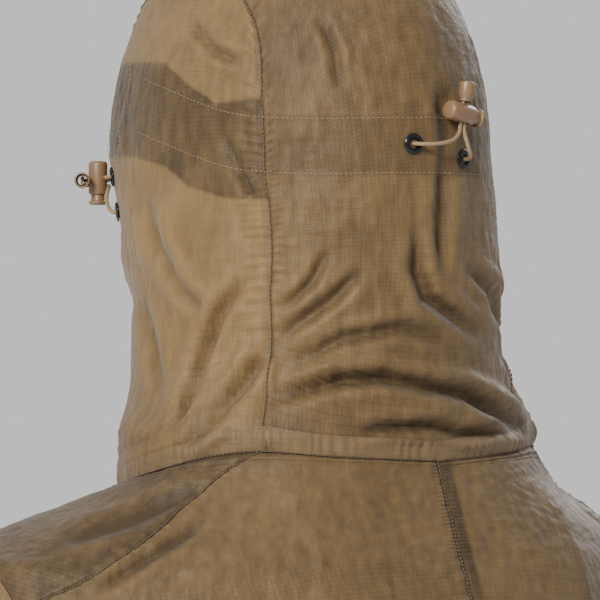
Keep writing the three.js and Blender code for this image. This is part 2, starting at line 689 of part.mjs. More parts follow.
function lockPlunger() {
  const body = solid(lathe([
    [0, PLUNGER_START + POCKET_DEPTH], [POCKET_RADIUS, PLUNGER_START + POCKET_DEPTH],
    [POCKET_RADIUS, PLUNGER_START], [PLUNGER_RADIUS, PLUNGER_START], [PLUNGER_RADIUS, PLUNGER_TOP],
    [LOCK_RADIUS - 0.5, PLUNGER_TOP], [LOCK_RADIUS, PLUNGER_TOP + 0.5],
    [LOCK_RADIUS, PLUNGER_TOP + PLUNGER_HEAD - 0.7], [LOCK_RADIUS - 0.7, PLUNGER_TOP + PLUNGER_HEAD],
    [0, PLUNGER_TOP + PLUNGER_HEAD],
  ]));
  const length = LOCK_SLOT + LOCK_TRAVEL + 0.6;
  const slot = slotCutter(LOCK_SLOT_WIDTH, length, LOCK_SLOT_AT + LOCK_TRAVEL / 2);
  return geometryOf(body.subtract(solid(slot)));
}

/** The return spring, drawn at its pressed length so that it clears the plunger's travel. */
function lockSpring() {
  const radius = POCKET_RADIUS - 0.25 - SPRING_WIRE / 2;
  const low = LOCK_END_WALL + 0.3 + SPRING_WIRE / 2;
  const high = PLUNGER_START + POCKET_DEPTH - LOCK_TRAVEL - 0.3 - SPRING_WIRE / 2;
  const turns = 2.5;
  class Coil extends THREE.Curve {
    getPoint(t) {
      const angle = 2 * Math.PI * turns * t;
      return vec(radius * Math.cos(angle), mix(low, high, t), radius * Math.sin(angle));
    }
  }
  return swept(new Coil(), 20, SPRING_WIRE, 5);
}

/** The moulded cord end: a hollow bell on a neck that both strands pass through. */
function cordEnd() {
  const bore = CORD_DIAMETER / 2 + STRAND_SPACING / 2 + 0.25;
  const neck = bore + BELL_NECK_WALL;
  return lathe([
    [bore, 0], [neck + 0.1, 0], [neck, 1.6], [BELL_RADIUS, 3.4], [BELL_RADIUS, BELL_LENGTH - 0.4],
    [BELL_RADIUS - 0.4, BELL_LENGTH], [BELL_RADIUS - 0.9, BELL_LENGTH], [BELL_RADIUS - 0.9, 3.9],
    [bore, 2.6], [bore, 0],
  ]);
}

function addLock(name, frame, bellBase, bellWay) {
  suit.add(frame);
  put(frame, `${name}_barrel`, lockBarrel(), coyotePlastic);
  put(frame, `${name}_plunger`, lockPlunger(), coyotePlastic);
  put(frame, `${name}_spring`, lockSpring(), springSteel);
  const bell = new THREE.Group();
  bell.quaternion.setFromUnitVectors(vec(0, 1, 0), bellWay.clone().normalize());
  bell.position.copy(bellBase);
  suit.add(bell);
  put(bell, `${name}_cord_end`, cordEnd(), coyotePlastic);
}

// ---- Body ------------------------------------------------------------------------------
function armholeSpot(turn) {
  const angle = radians(turn);
  return ARMHOLE_CENTRE.clone().add(vec(
    ARMHOLE_LEAN * Math.cos(angle),
    ARMHOLE_HALF_DEPTH * Math.sin(angle),
    ARMHOLE_HALF_HEIGHT * Math.cos(angle),
  ));
}

const shoulderSeam = new THREE.CatmullRomCurve3([
  neckSeam(SHOULDER_SEAM_TURN), vec(103, 38, -19), vec(119, 34, -32), vec(136, 36, -43),
  vec(156, 36, -54.5), vec(178, 30, -68), armholeSpot(SHOULDER_SEAM_RING),
]);

const onTorso = (point) => {
  const heart = TORSO_HEART.clone();
  heart.z = Math.min(heart.z, point.z);
  return cast(torsoForm, heart, point.clone().sub(heart));
};

/** The side seam, 0 under the arm to 1 at the hem. */
function sideSeam(down) {
  const under = armholeSpot(180);
  const z = mix(under.z, HEM_HEIGHT, down);
  const middle = (along(torsoBack, z) + frontLine(z)) / 2 - 6 * (1 - down);
  const point = onTorso(vec(300, middle, z));
  const start = onTorso(vec(300, (along(torsoBack, under.z) + frontLine(under.z)) / 2 - 6, under.z));
  return point.addScaledVector(under.clone().sub(start), (1 - down) ** 3);
}

/** The outer rim of a body panel: shoulder seam, armhole, side seam. */
function outerRim(armholeRows, underTurn) {
  const rim = [];
  for (let i = 0; i < SHOULDER_ROWS; i += 1) rim.push(shoulderSeam.getPoint(i / SHOULDER_ROWS));
  for (let i = 0; i < armholeRows; i += 1) {
    rim.push(armholeSpot(mix(SHOULDER_SEAM_RING, underTurn, i / armholeRows)));
  }
  for (let i = 0; i <= SIDE_ROWS; i += 1) rim.push(sideSeam(i / SIDE_ROWS));
  return rim;
}

/** Heights of a panel's inner rim, one for each row of its outer rim. */
function rowHeights(top, atShoulder, atUnderarm, armholeRows) {
  const heights = [];
  for (let i = 0; i < SHOULDER_ROWS; i += 1) heights.push(mix(top, atShoulder, i / SHOULDER_ROWS));
  for (let i = 0; i < armholeRows; i += 1) {
    heights.push(mix(atShoulder, atUnderarm, i / armholeRows));
  }
  for (let i = 0; i <= SIDE_ROWS; i += 1) heights.push(mix(atUnderarm, HEM_HEIGHT, i / SIDE_ROWS));
  return heights;
}

/** A body panel stretched between four rims and laid on the torso's form. */
function bodyPanel(inner, outer, top, hem) {
  const last = inner.length - 1;
  const columns = top.length - 1;
  const fault = (point) => point.clone().sub(onTorso(point));
  const rows = inner.map((start, i) => {
    const v = i / last;
    return top.map((head, j) => {
      const u = j / columns;
      const point = start.clone().multiplyScalar(1 - u).addScaledVector(outer[i], u)
        .addScaledVector(head, 1 - v).addScaledVector(hem[j], v)
        .addScaledVector(inner[0], -(1 - u) * (1 - v)).addScaledVector(outer[0], -u * (1 - v))
        .addScaledVector(inner[last], -(1 - u) * v).addScaledVector(outer[last], -u * v);
      const laid = onTorso(point);
      const nearInner = (1 - u) ** 3;
      const nearOuter = u ** 3;
      laid.addScaledVector(fault(start), nearInner).addScaledVector(fault(outer[i]), nearOuter);
      const headFault = fault(head).addScaledVector(fault(inner[0]), -nearInner)
        .addScaledVector(fault(outer[0]), -nearOuter);
      return laid.addScaledVector(headFault, (1 - v) ** 12);
    });
  });
  const normals = rows.map((row) => row.map((p) => normalOf(torsoForm, p)));
  const laidIn = pulledIn(rows);
  return shell(laidIn.map((row, i) => row.map((p, j) => ({
    outer: p, inner: p.clone().addScaledVector(normals[i][j], -CLOTH),
  }))));
}

function backPanel() {
  const heights = rowHeights(neckSeam(0).z, -58, -236, BACK_ARMHOLE_ROWS);
  const inner = heights.map((z) => vec(0, along(torsoBack, z), z));
  const outer = outerRim(BACK_ARMHOLE_ROWS, 180);
  const top = [];
  const hem = [];
  for (let j = 0; j <= HOOD_COLUMNS; j += 1) {
    const u = j / HOOD_COLUMNS;
    top.push(neckSeam(u * SHOULDER_SEAM_TURN));
    hem.push(onTorso(inner[inner.length - 1].clone().lerp(outer[outer.length - 1], u)
      .add(vec(0, 60 * u * (1 - u) * 4, 0)).setZ(HEM_HEIGHT)));
  }
  return bodyPanel(inner, outer, top, hem);
}

function frontPanel() {
  const heights = rowHeights(NECK_FRONT_HEIGHT, -64, -240, FRONT_ARMHOLE_ROWS);
  const inner = heights.map(frontEdge);
  const outer = outerRim(FRONT_ARMHOLE_ROWS, -180);
  const top = [];
  const hem = [];
  for (let j = 0; j <= FRONT_COLUMNS; j += 1) {
    const u = j / FRONT_COLUMNS;
    top.push(neckSeam(mix(FRONT_EDGE_TURN, SHOULDER_SEAM_TURN, u)));
    hem.push(onTorso(inner[inner.length - 1].clone().lerp(outer[outer.length - 1], u)
      .add(vec(0, -60 * u * (1 - u) * 4, 0)).setZ(HEM_HEIGHT)));
  }
  top[0].copy(inner[0]);
  return bodyPanel(inner, outer, top, hem);
}

function hemBand() {
  const columns = 36;
  const rows = [1.2, HEM_BAND_WIDTH].map((drop) => {
    const row = [];
    for (let j = 0; j <= columns; j += 1) {
      const angle = mix(-1, 1, j / columns) * (Math.PI - FRONT_EDGE_X / 130);
      const z = HEM_HEIGHT - drop;
      const point = cast(torsoForm, vec(0, -5, z), vec(1.5 * Math.sin(angle), Math.cos(angle), 0));
      row.push(layer(torsoForm, point));
    }
    return row;
  });
  return shell(rows);
}

// ---- Sleeves ---------------------------------------------------------------------------
const armOut = vec(0, 0, 1).addScaledVector(ARM_DIRECTION, -ARM_DIRECTION.z).normalize();
const armBack = armOut.clone().cross(ARM_DIRECTION).normalize();
if (armBack.y < 0) armBack.negate();
const armAt = (distance) => ARM_START.clone().addScaledVector(ARM_DIRECTION, distance);
const sleeveRadius = (distance) =>
  mix(SLEEVE_TOP_RADIUS, SLEEVE_END_RADIUS, clamp01((distance - SLEEVE_FIRST_RING) / (SLEEVE_LENGTH - SLEEVE_FIRST_RING)));

function sleeveSpot(turn, distance) {
  const angle = radians(turn);
  return armAt(distance).addScaledVector(armOut, sleeveRadius(distance) * Math.cos(angle))
    .addScaledVector(armBack, sleeveRadius(distance) * Math.sin(angle));
}

function sleeve() {
  const turns = [];
  for (let i = 0; i < BACK_ARMHOLE_ROWS; i += 1) {
    turns.push(mix(SHOULDER_SEAM_RING, 180, i / BACK_ARMHOLE_ROWS));
  }
  for (let i = 0; i < FRONT_ARMHOLE_ROWS; i += 1) {
    turns.push(mix(-180, SHOULDER_SEAM_RING, i / FRONT_ARMHOLE_ROWS));
  }
  const rings = [0, 0.45].map((share) => turns.map((turn) => {
    const start = armholeSpot(turn);
    const end = sleeveSpot(turn, SLEEVE_FIRST_RING);
    const centre = ARMHOLE_CENTRE.clone().lerp(armAt(SLEEVE_FIRST_RING), share);
    const gap = share === 0 ? SLEEVE_GAP / start.distanceTo(end) : share;
    return { point: start.lerp(end, gap), centre };
  }));
  for (let i = 0; i <= 5; i += 1) {
    const distance = mix(SLEEVE_FIRST_RING, SLEEVE_LENGTH, i / 5);
    rings.push(turns.map((turn) => ({ point: sleeveSpot(turn, distance), centre: armAt(distance) })));
  }
  return shell(rings.map((ring) => ring.map(({ point, centre }) => {
    const inward = centre.clone().sub(point).normalize();
    return { outer: point, inner: point.clone().addScaledVector(inward, CLOTH) };
  })), true);
}

/** The elastic cuff: a ring sewn on below the sleeve's end. */
function cuff() {
  const geometry = lathe([
    [CUFF_RADIUS - 1.8, 0], [CUFF_RADIUS + 2, 0], [CUFF_RADIUS, CUFF_LENGTH],
    [CUFF_RADIUS - 1.8, CUFF_LENGTH], [CUFF_RADIUS - 1.8, 0],
  ], 24);
  geometry.applyQuaternion(new THREE.Quaternion().setFromUnitVectors(vec(0, 1, 0), ARM_DIRECTION));
  const start = armAt(SLEEVE_LENGTH + 0.6);
  return geometry.translate(start.x, start.y, start.z);
}

// ---- Front zip -------------------------------------------------------------------------
const ZIP_LENGTH = (ZIP_TOP.z - HEM_HEIGHT + HEM_BAND_WIDTH - 8) / Math.cos(Math.atan(zipSlope));
const BOX_LENGTH = 7;
const COIL_FRONT = -0.6;
const TAPE_FRONT = COIL_FRONT + COIL_DEPTH + TAPE_CLEARANCE;
const PIVOT_Y = COIL_FRONT - SLIDER_CLEARANCE - SLIDER_WALL - BAIL_HEIGHT / 2;
const PIN_RADIUS = 0.55;

const block = (x, y, z, sizeX, sizeY, sizeZ) =>
  new THREE.BoxGeometry(sizeX, sizeY, sizeZ).translate(x, y, z);

function zipTapeSide(side) {
  const top = 5;
  return block(side * (COIL_GAP + TAPE_WIDTH / 2), TAPE_FRONT + TAPE_THICKNESS / 2,
    (top - ZIP_LENGTH) / 2, TAPE_WIDTH, TAPE_THICKNESS, top + ZIP_LENGTH);
}

function zipCoil(side) {
  return block(side * (COIL_GAP + COIL_WIDTH / 2), COIL_FRONT + COIL_DEPTH / 2,
    -(ZIP_LENGTH - BOX_LENGTH) / 2, COIL_WIDTH, COIL_DEPTH, ZIP_LENGTH - BOX_LENGTH);
}

function zipStop(side) {
  return block(side * (COIL_GAP + COIL_WIDTH / 2 + 0.2), COIL_FRONT + COIL_DEPTH / 2 - 0.1, 1.8,
    COIL_WIDTH + 0.4, COIL_DEPTH + 0.2, 2.8);
}

function zipBox() {
  return block(0, COIL_FRONT + COIL_DEPTH / 2 - 0.2, BOX_LENGTH / 2 - ZIP_LENGTH - 0.3,
    2 * (COIL_GAP + COIL_WIDTH) + 2, COIL_DEPTH + 0.4, BOX_LENGTH - 0.6);
}

function zipSlider() {
  const inside = COIL_GAP + COIL_WIDTH + SLIDER_CLEARANCE;
  const outside = inside + SLIDER_WALL;
  const face = COIL_FRONT - SLIDER_CLEARANCE;
  const back = TAPE_FRONT - 0.5;
  const outline = new THREE.Shape([
    [-outside + 0.6, face - SLIDER_WALL], [outside - 0.6, face - SLIDER_WALL],
    [outside, face - SLIDER_WALL + 0.6], [outside, back], [inside, back], [inside, face],
    [-inside, face], [-inside, back], [-outside, back], [-outside, face - SLIDER_WALL + 0.6],
  ].map(([x, y]) => new THREE.Vector2(x, y)));
  const body = new THREE.ExtrudeGeometry(outline, { depth: SLIDER_LENGTH, bevelEnabled: false });
  body.translate(0, 0, -SLIDER_LENGTH / 2);
  const foot = -(face - SLIDER_WALL) - 0.4;
  const reach = foot + 0.4 + BAIL_HEIGHT;
  const half = 3.2;
  const arch = new THREE.Shape();
  arch.moveTo(-half, foot);
  arch.lineTo(half, foot);
  arch.lineTo(half, reach - 1.2);
  arch.quadraticCurveTo(half, reach, half - 1.2, reach);
  arch.lineTo(1.2 - half, reach);
  arch.quadraticCurveTo(-half, reach, -half, reach - 1.2);
  arch.closePath();
  const window = new THREE.Path();
  const pivot = -PIVOT_Y;
  const gap = PIN_RADIUS + 0.3;
  window.moveTo(-half + 1, pivot - gap);
  window.lineTo(-half + 1, pivot + gap);
  window.lineTo(half - 1, pivot + gap);
  window.lineTo(half - 1, pivot - gap);
  window.closePath();
  arch.holes.push(window);
  const bail = new THREE.ExtrudeGeometry(arch, { depth: 1.3, bevelEnabled: false, curveSegments: 4 });
  bail.translate(0, 0, -0.65);
  bail.applyMatrix4(new THREE.Matrix4().makeBasis(vec(0, 0, 1), vec(0, -1, 0), vec(1, 0, 0)));
  return geometryOf(solid(body).add(solid(bail)));
}

/** The pull tab, hanging from a pin through the slider's bail. */
function zipPull() {
  const half = 3.4;
  const slot = 1.2;
  const slotLength = 5;
  const plate = new THREE.Shape();
  plate.moveTo(-half + 0.8, 1.1);
  plate.lineTo(-slot, 1.1);
  plate.lineTo(-slot, PIN_RADIUS);
  plate.lineTo(slot, PIN_RADIUS);
  plate.lineTo(slot, 1.1);
  plate.lineTo(half - 0.8, 1.1);
  plate.lineTo(half, 0.3);
  plate.lineTo(half, -PULL_LENGTH + 2);
  plate.lineTo(half - 2, -PULL_LENGTH);
  plate.lineTo(-half + 2, -PULL_LENGTH);
  plate.lineTo(-half, -PULL_LENGTH + 2);
  plate.lineTo(-half, 0.3);
  plate.closePath();
  const hole = new THREE.Path();
  hole.moveTo(-slot, -PIN_RADIUS);
  hole.lineTo(-slot, -slotLength);
  hole.lineTo(slot, -slotLength);
  hole.lineTo(slot, -PIN_RADIUS);
  hole.closePath();
  plate.holes.push(hole);
  const tab = new THREE.ExtrudeGeometry(plate, { depth: 1.1, bevelEnabled: false });
  tab.translate(0, 0, -PIN_RADIUS);
  tab.applyMatrix4(new THREE.Matrix4().makeBasis(vec(1, 0, 0), vec(0, 0, 1), vec(0, -1, 0)));
  return tab.translate(0, PIVOT_Y, 0);
}

// ---- The whole jacket ------------------------------------------------------------------
const HOLE_RADIUS = EYELET_HOLE_RADIUS + EYELET_WALL + EYELET_CLEARANCE;
const spots = (...names) => names.map((name) => EYELETS[name]);
put(suit, 'hood_centre_panel',
  pierced(hoodCentre(), spots('back_eyelet_left', 'back_eyelet_right'), HOLE_RADIUS), ripstop);
const leftSide = pierced(hoodSide(),
  spots('face_eyelet_upper_left', 'face_eyelet_lower_left'), HOLE_RADIUS);
put(suit, 'hood_side_left', leftSide, ripstop);
put(suit, 'hood_side_right', mirrored(leftSide), ripstop);
put(suit, 'hood_inner_band', hoodBand(), ripstop);
put(suit, 'face_hem_facing', faceHem(), ripstop);
put(suit, 'neck_seam_band', neckBand(), elasticBand);

for (const [side, label] of [[1, 'left'], [-1, 'right']]) {
  const sided = (geometry) => (side > 0 ? geometry : mirrored(bare(geometry)));
  put(suit, `back_panel_${label}`, sided(backPanel()), ripstop);
  put(suit, `front_panel_${label}`, sided(frontPanel()), ripstop);
  put(suit, `sleeve_${label}`, sided(sleeve()), ripstop);
  put(suit, `cuff_${label}`, sided(cuff()), elasticBand);
  put(suit, `back_drawcord_run_${label}`, backRun(side), elasticCord);
  put(suit, `chin_drawcord_run_${label}`, chinRun(side), elasticCord);
  put(suit, `face_strand_upper_${label}`, strand(FACE_STRAND_UPPER, side), elasticCord);
  put(suit, `face_strand_lower_${label}`, strand(FACE_STRAND_LOWER, side), elasticCord);
}
put(suit, 'brow_drawcord_run', browRun(), elasticCord);
put(suit, 'back_strand_left', strand(BACK_STRAND_LEFT), elasticCord);
put(suit, 'back_strand_right', strand(BACK_STRAND_RIGHT), elasticCord);
put(suit, 'hem_band', hemBand(), ripstop);

for (const [name, spot] of Object.entries(EYELETS)) {
  const mesh = put(suit, name, eyelet(), darkMetal);
  mesh.quaternion.setFromUnitVectors(vec(0, 1, 0), spot.normal);
  mesh.position.copy(spot.point);
}

const backLockFrame = lockFrame(vec(-13, 82, 156.5), vec(-0.975, -0.12, -0.185), vec(0, 0, 1));
addLock('back_lock', backLockFrame, vec(-14.1, 81.9, 162.4), vec(-0.183, -0.023, 0.983));
for (const [side, label] of [[1, 'left'], [-1, 'right']]) {
  const frame = lockFrame(vec(side * 68.6, -110.4, 125), vec(0, 0, -1), vec(side * 0.793, -0.61, 0));
  addLock(`face_lock_${label}`, frame, vec(side * 76.6, -112.5, 126.2), vec(side * 0.61, 0.793, 0));
}

const zip = new THREE.Group();
zip.position.copy(ZIP_TOP);
zip.rotation.x = -Math.atan(zipSlope);
suit.add(zip);
put(zip, 'zip_tape_left', zipTapeSide(1), zipTape);
put(zip, 'zip_tape_right', zipTapeSide(-1), zipTape);
put(zip, 'zip_coil_left', zipCoil(1), coyotePlastic);
put(zip, 'zip_coil_right', zipCoil(-1), coyotePlastic);
put(zip, 'zip_stop_left', zipStop(1), zipMetal);
put(zip, 'zip_stop_right', zipStop(-1), zipMetal);
put(zip, 'zip_bottom_box', zipBox(), zipMetal);
const slider = new THREE.Group();
slider.position.z = -SLIDER_DROP;
zip.add(slider);
put(slider, 'zip_slider', zipSlider(), zipMetal);
put(slider, 'zip_pull', zipPull(), zipMetal);

suit.updateMatrixWorld(true);
export default suit;
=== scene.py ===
"""Looks of a thin hooded suit jacket: cloth panels, stitching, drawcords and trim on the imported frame."""
import logging
import math
from dataclasses import dataclass, field
from enum import Enum
from typing import Callable, Sequence

import bmesh
import bpy
import numpy as np
from mathutils import Matrix, Vector


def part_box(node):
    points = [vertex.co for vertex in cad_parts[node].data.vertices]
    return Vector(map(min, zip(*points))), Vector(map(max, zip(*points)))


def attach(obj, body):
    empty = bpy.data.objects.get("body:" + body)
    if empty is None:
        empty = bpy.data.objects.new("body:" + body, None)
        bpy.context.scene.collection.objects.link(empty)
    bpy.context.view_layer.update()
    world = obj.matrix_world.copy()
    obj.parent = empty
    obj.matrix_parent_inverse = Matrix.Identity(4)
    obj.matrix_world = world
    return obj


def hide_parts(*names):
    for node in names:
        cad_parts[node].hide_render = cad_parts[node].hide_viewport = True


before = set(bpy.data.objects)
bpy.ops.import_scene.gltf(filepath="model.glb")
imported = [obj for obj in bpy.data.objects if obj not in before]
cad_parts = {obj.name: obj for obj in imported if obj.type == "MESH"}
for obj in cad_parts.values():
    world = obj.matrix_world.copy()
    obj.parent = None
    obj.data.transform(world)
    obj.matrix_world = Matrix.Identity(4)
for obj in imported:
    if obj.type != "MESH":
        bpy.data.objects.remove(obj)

log = logging.getLogger("jacket")
MM = 0.001
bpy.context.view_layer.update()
Array = np.ndarray
Surface = Callable[[Array, Array], Array]


class Side(Enum):
    """Which half of the jacket, by the wearer."""

    LEFT = 1
    RIGHT = -1

    @property
    def word(self) -> str:
        """The side's name in lower case."""
        return self.name.lower()


class Weave(Enum):
    """How a cloth is made, which sets its threads and its shine."""

    RIPSTOP = 0.0028
    TAPE = 0.0016


# ---- Forms the cloth follows, in millimetres --------------------------------------------
NECK_HALF_WIDTH, NECK_BACK, NECK_CENTRE_Y, NECK_FRONT_HEIGHT = 112.0, 85.0, -7.0, -40.0
HEAD_HALF_WIDTH, HEAD_HALF_DEPTH, HEAD_CENTRE_Y = 86.0, 111.0, -33.0
BROW_HEIGHT, CROWN_RISE = 140.0, 130.0
HEM_HEIGHT, HEM_BAND_WIDTH = -640.0, 24.0
SHOULDER_FORWARD, SHOULDER_START = 0.3, 80.0
ZIP_TOP = np.array([0.0, -96.0, 45.0])
ZIP_BOTTOM_Y = -135.0
FRONT_EDGE_X = 4.8
ZIP_SLOPE = (ZIP_TOP[1] - ZIP_BOTTOM_Y) / (ZIP_TOP[2] - HEM_HEIGHT)
ARMHOLE_CENTRE = np.array([199.0, -25.0, -152.0])
ARMHOLE_LEAN, ARMHOLE_HALF_DEPTH, ARMHOLE_HALF_HEIGHT = 6.0, 58.0, 92.0
ARM_START = np.array([186.0, -27.0, -112.0])
ARM_DIRECTION = np.array([0.5, -0.07, -0.863]) / np.linalg.norm([0.5, -0.07, -0.863])
SLEEVE_LENGTH, SLEEVE_FIRST_RING, CUFF_LENGTH = 560.0, 135.0, 42.0
SLEEVE_TOP_RADIUS, SLEEVE_END_RADIUS, CUFF_RADIUS = 60.0, 46.0, 42.0
SHOULDER_TURN, FRONT_TURN, SHOULDER_RING = 50.5, 177.5, 40.0
HOOD_HEART = np.array([0.0, -27.0, 110.0])
TORSO_HEART = np.array([0.0, -5.0, -150.0])
BRIM_SWING, BRIM_SEAM_SWING = 132.0, 129.0
BAND_HALF_WIDTH = 15.0

Keys = Sequence[tuple[float, float]]
HOOD_HALF_WIDTH: Keys = ((0, NECK_HALF_WIDTH), (20, 97), (41, 91.5), (85, 90), (BROW_HEIGHT, HEAD_HALF_WIDTH))
HOOD_BACK: Keys = ((0, NECK_BACK), (20, 93), (41, 98), (85, 101), (BROW_HEIGHT, HEAD_HALF_DEPTH))
HOOD_CENTRE_LINE: Keys = ((0, NECK_CENTRE_Y), (20, -14), (41, -20), (85, -22), (BROW_HEIGHT, HEAD_CENTRE_Y))
TORSO_HALF_WIDTH: Keys = (
    (HEM_HEIGHT, 205), (-450, 200), (-300, 195), (-235, 192), (-180, 200), (-120, 206), (-90, 208),
    (-63, 205), (-55, 191), (-45, 167), (-33, 136), (-17, 113), (0, NECK_HALF_WIDTH - 4),
)
TORSO_BACK: Keys = (
    (HEM_HEIGHT, 124), (-450, 118), (-300, 122), (-200, 124), (-130, 117), (-84, 105), (-54, 94),
    (-30, 84), (-13, 78), (0, 74),
)
NECK_HEIGHT: Keys = (
    (0, -13), (30, -10), (50, -7.5), (65, -10), (82, -16), (120, -28), (FRONT_TURN, NECK_FRONT_HEIGHT),
)
BAND_MIDDLE: Keys = ((0, 141), (60, 142), (90, 157), (102, 163))


def along(keys: Keys, at: Array | float) -> Array:
    """Reads a smooth curve through keys.

    Args:
        keys: Pairs of place and value, in rising order.
        at: Where to read it. Past the ends it stays level.

    Returns:
        The curve's value at each place.
    """
    xs, ys = np.array(keys, float).T
    at = np.clip(np.asarray(at, float), xs[0], xs[-1])
    i = np.clip(np.searchsorted(xs, at, side="right") - 1, 0, len(xs) - 2)
    slopes = np.zeros(len(xs))
    slopes[1:-1] = (ys[2:] - ys[:-2]) / (xs[2:] - xs[:-2])
    span, rise = xs[i + 1] - xs[i], ys[i + 1] - ys[i]
    t = (at - xs[i]) / span
    lead = np.where(i == 0, rise / span, slopes[i])
    tail = np.where(i + 2 == len(xs), rise / span, slopes[i + 1])
    return ys[i] + rise * t * t * (3 - 2 * t) + span * (lead * t * (1 - t) ** 2 - tail * t * t * (1 - t))


def smooth(t: Array | float) -> Array:
    """Eases from 0 to 1 as t goes from 0 to 1."""
    t = np.clip(t, 0, 1)
    return t * t * (3 - 2 * t)


def front_line(z: Array | float) -> Array:
    """The zip's distance forward at a height."""
    return ZIP_TOP[1] - (ZIP_TOP[2] - np.asarray(z, float)) * ZIP_SLOPE


HOOD_FRONT: Keys = (
    (0, NECK_CENTRE_Y - float(front_line(NECK_FRONT_HEIGHT))), (20, 96), (41, 98), (85, 101),
    (BROW_HEIGHT, HEAD_HALF_DEPTH),
)


def hood_reach(back: Array, z: Array) -> Array:
    """The hood's reach behind or before its centre line at a height."""
    return np.where(back > 0, along(HOOD_BACK, z), along(HOOD_FRONT, z))


def hood_form(p: Array) -> Array:
    """Below 1 inside the hood's form and above 1 outside it."""
    z = np.minimum(p[..., 2], BROW_HEIGHT)
    rise = np.maximum(0, p[..., 2] - BROW_HEIGHT) / CROWN_RISE
    back = p[..., 1] - along(HOOD_CENTRE_LINE, z)
    return np.sqrt((p[..., 0] / along(HOOD_HALF_WIDTH, z)) ** 2 + (back / hood_reach(back, z)) ** 2 + rise**2)


def torso_form(p: Array) -> Array:
    """Below 1 inside the body's form and above 1 outside it."""
    z, square = p[..., 2], 2.3
    back, front = along(TORSO_BACK, z), front_line(z)
    forward = SHOULDER_FORWARD * np.maximum(0, np.abs(p[..., 0]) - SHOULDER_START) * smooth((z + 300) / 180)
    x = np.abs(p[..., 0]) / along(TORSO_HALF_WIDTH, z)
    y = np.abs(p[..., 1] + forward - (back + front) / 2) / ((back - front) / 2)
    return (x**square + y**square) ** (1 / square)


Form = Callable[[Array], Array]


def cast(form: Form, hearts: Array, points: Array) -> Array:
    """Where the rays from the hearts through the points leave a form."""
    ways = points - hearts
    ways = ways / np.linalg.norm(ways, axis=-1, keepdims=True)
    far = np.full(len(points), 900.0)
    live = np.arange(len(points))
    for distance in np.arange(12.0, 900.0, 12.0):
        out = form(hearts[live] + ways[live] * distance) >= 1
        far[live[out]] = distance
        live = live[~out]
        if not len(live):
            break
    near = far - 12
    for _ in range(18):
        middle = (near + far) / 2
        inside = form(hearts + ways * middle[:, None]) < 1
        near, far = np.where(inside, middle, near), np.where(inside, far, middle)
    return hearts + ways * far[:, None]


def normal_of(form: Form, p: Array) -> Array:
    """The outward direction of a form at points near its surface."""
    step = 0.5 * np.eye(3)
    slope = np.stack([form(p + d) - form(p - d) for d in step], -1)
    return slope / np.linalg.norm(slope, axis=-1, keepdims=True)


def on_hood(points: Array) -> Array:
    """Points moved on to the hood's form, along rays from its heart."""
    return cast(hood_form, np.broadcast_to(HOOD_HEART, points.shape), points)


def on_torso(points: Array) -> Array:
    """Points moved on to the body's form."""
    hearts = np.broadcast_to(TORSO_HEART, points.shape).copy()
    hearts[:, 2] = np.minimum(hearts[:, 2], points[:, 2])
    return cast(torso_form, hearts, points)


# ---- Curves on the forms ----------------------------------------------------------------
def spline(points: Sequence[Sequence[float]], shares: Array, even: bool = False) -> Array:
    """A centripetal curve through points.

    Args:
        points: The points that it goes through.
        shares: Places along it from 0 to 1.
        even: Whether the shares are of its length, in place of its number of points.

    Returns:
        One point for each share.
    """
    p = np.array(points, float)
    if even:
        fine = spline(points, np.linspace(0, 1, 40 * len(p)))
        run = np.concatenate([[0], np.cumsum(np.linalg.norm(np.diff(fine, axis=0), axis=1))])
        return np.stack([np.interp(shares * run[-1], run, fine[:, k]) for k in range(3)], -1)
    p = np.vstack([2 * p[0] - p[1], p, 2 * p[-1] - p[-2]])
    place = np.clip(shares, 0, 1) * (len(p) - 3)
    i = np.minimum(place.astype(int), len(p) - 4)
    t = (place - i)[:, None]
    a, b, c, d = p[i], p[i + 1], p[i + 2], p[i + 3]
    gaps = [np.maximum(np.linalg.norm(v, axis=1, keepdims=True) ** 0.5, 1e-4) for v in (b - a, c - b, d - c)]
    lead = ((b - a) / gaps[0] - (c - a) / (gaps[0] + gaps[1]) + (c - b) / gaps[1]) * gaps[1]
    tail = ((c - b) / gaps[1] - (d - b) / (gaps[1] + gaps[2]) + (d - c) / gaps[2]) * gaps[1]
    return b + lead * t + (3 * (c - b) - 2 * lead - tail) * t**2 + (2 * (b - c) + lead + tail) * t**3


def neck_seam(turn: Array) -> Array:
    """Points of the neck seam, turn degrees from the centre back towards the wearer's left."""
    angle = np.radians(turn)
    reach = np.where(np.cos(angle) > 0, NECK_BACK, NECK_CENTRE_Y - front_line(NECK_FRONT_HEIGHT))
    return np.stack([NECK_HALF_WIDTH * np.sin(angle), NECK_CENTRE_Y + reach * np.cos(angle),
                     along(NECK_HEIGHT, np.abs(turn))], -1)


def hood_angles(points: Array) -> tuple[Array, Array]:
    """Angles from the hood's heart: up and over from the back, and to the side."""
    d = points - HOOD_HEART
    return np.arctan2(d[:, 2], d[:, 1]), np.arctan2(d[:, 0], np.hypot(d[:, 1], d[:, 2]))


SEAM_FOOT = tuple(float(a[0]) for a in hood_angles(neck_seam(np.array([SHOULDER_TURN]))))
SEAM_LEAN: Keys = (
    (math.degrees(SEAM_FOOT[0]), math.degrees(SEAM_FOOT[1])), (-46, 37.6), (-28, 44.5), (14, 49.3),
    (42, 43.3), (62, 34), (74, 30.3), (90, 26), (129, 24),
)


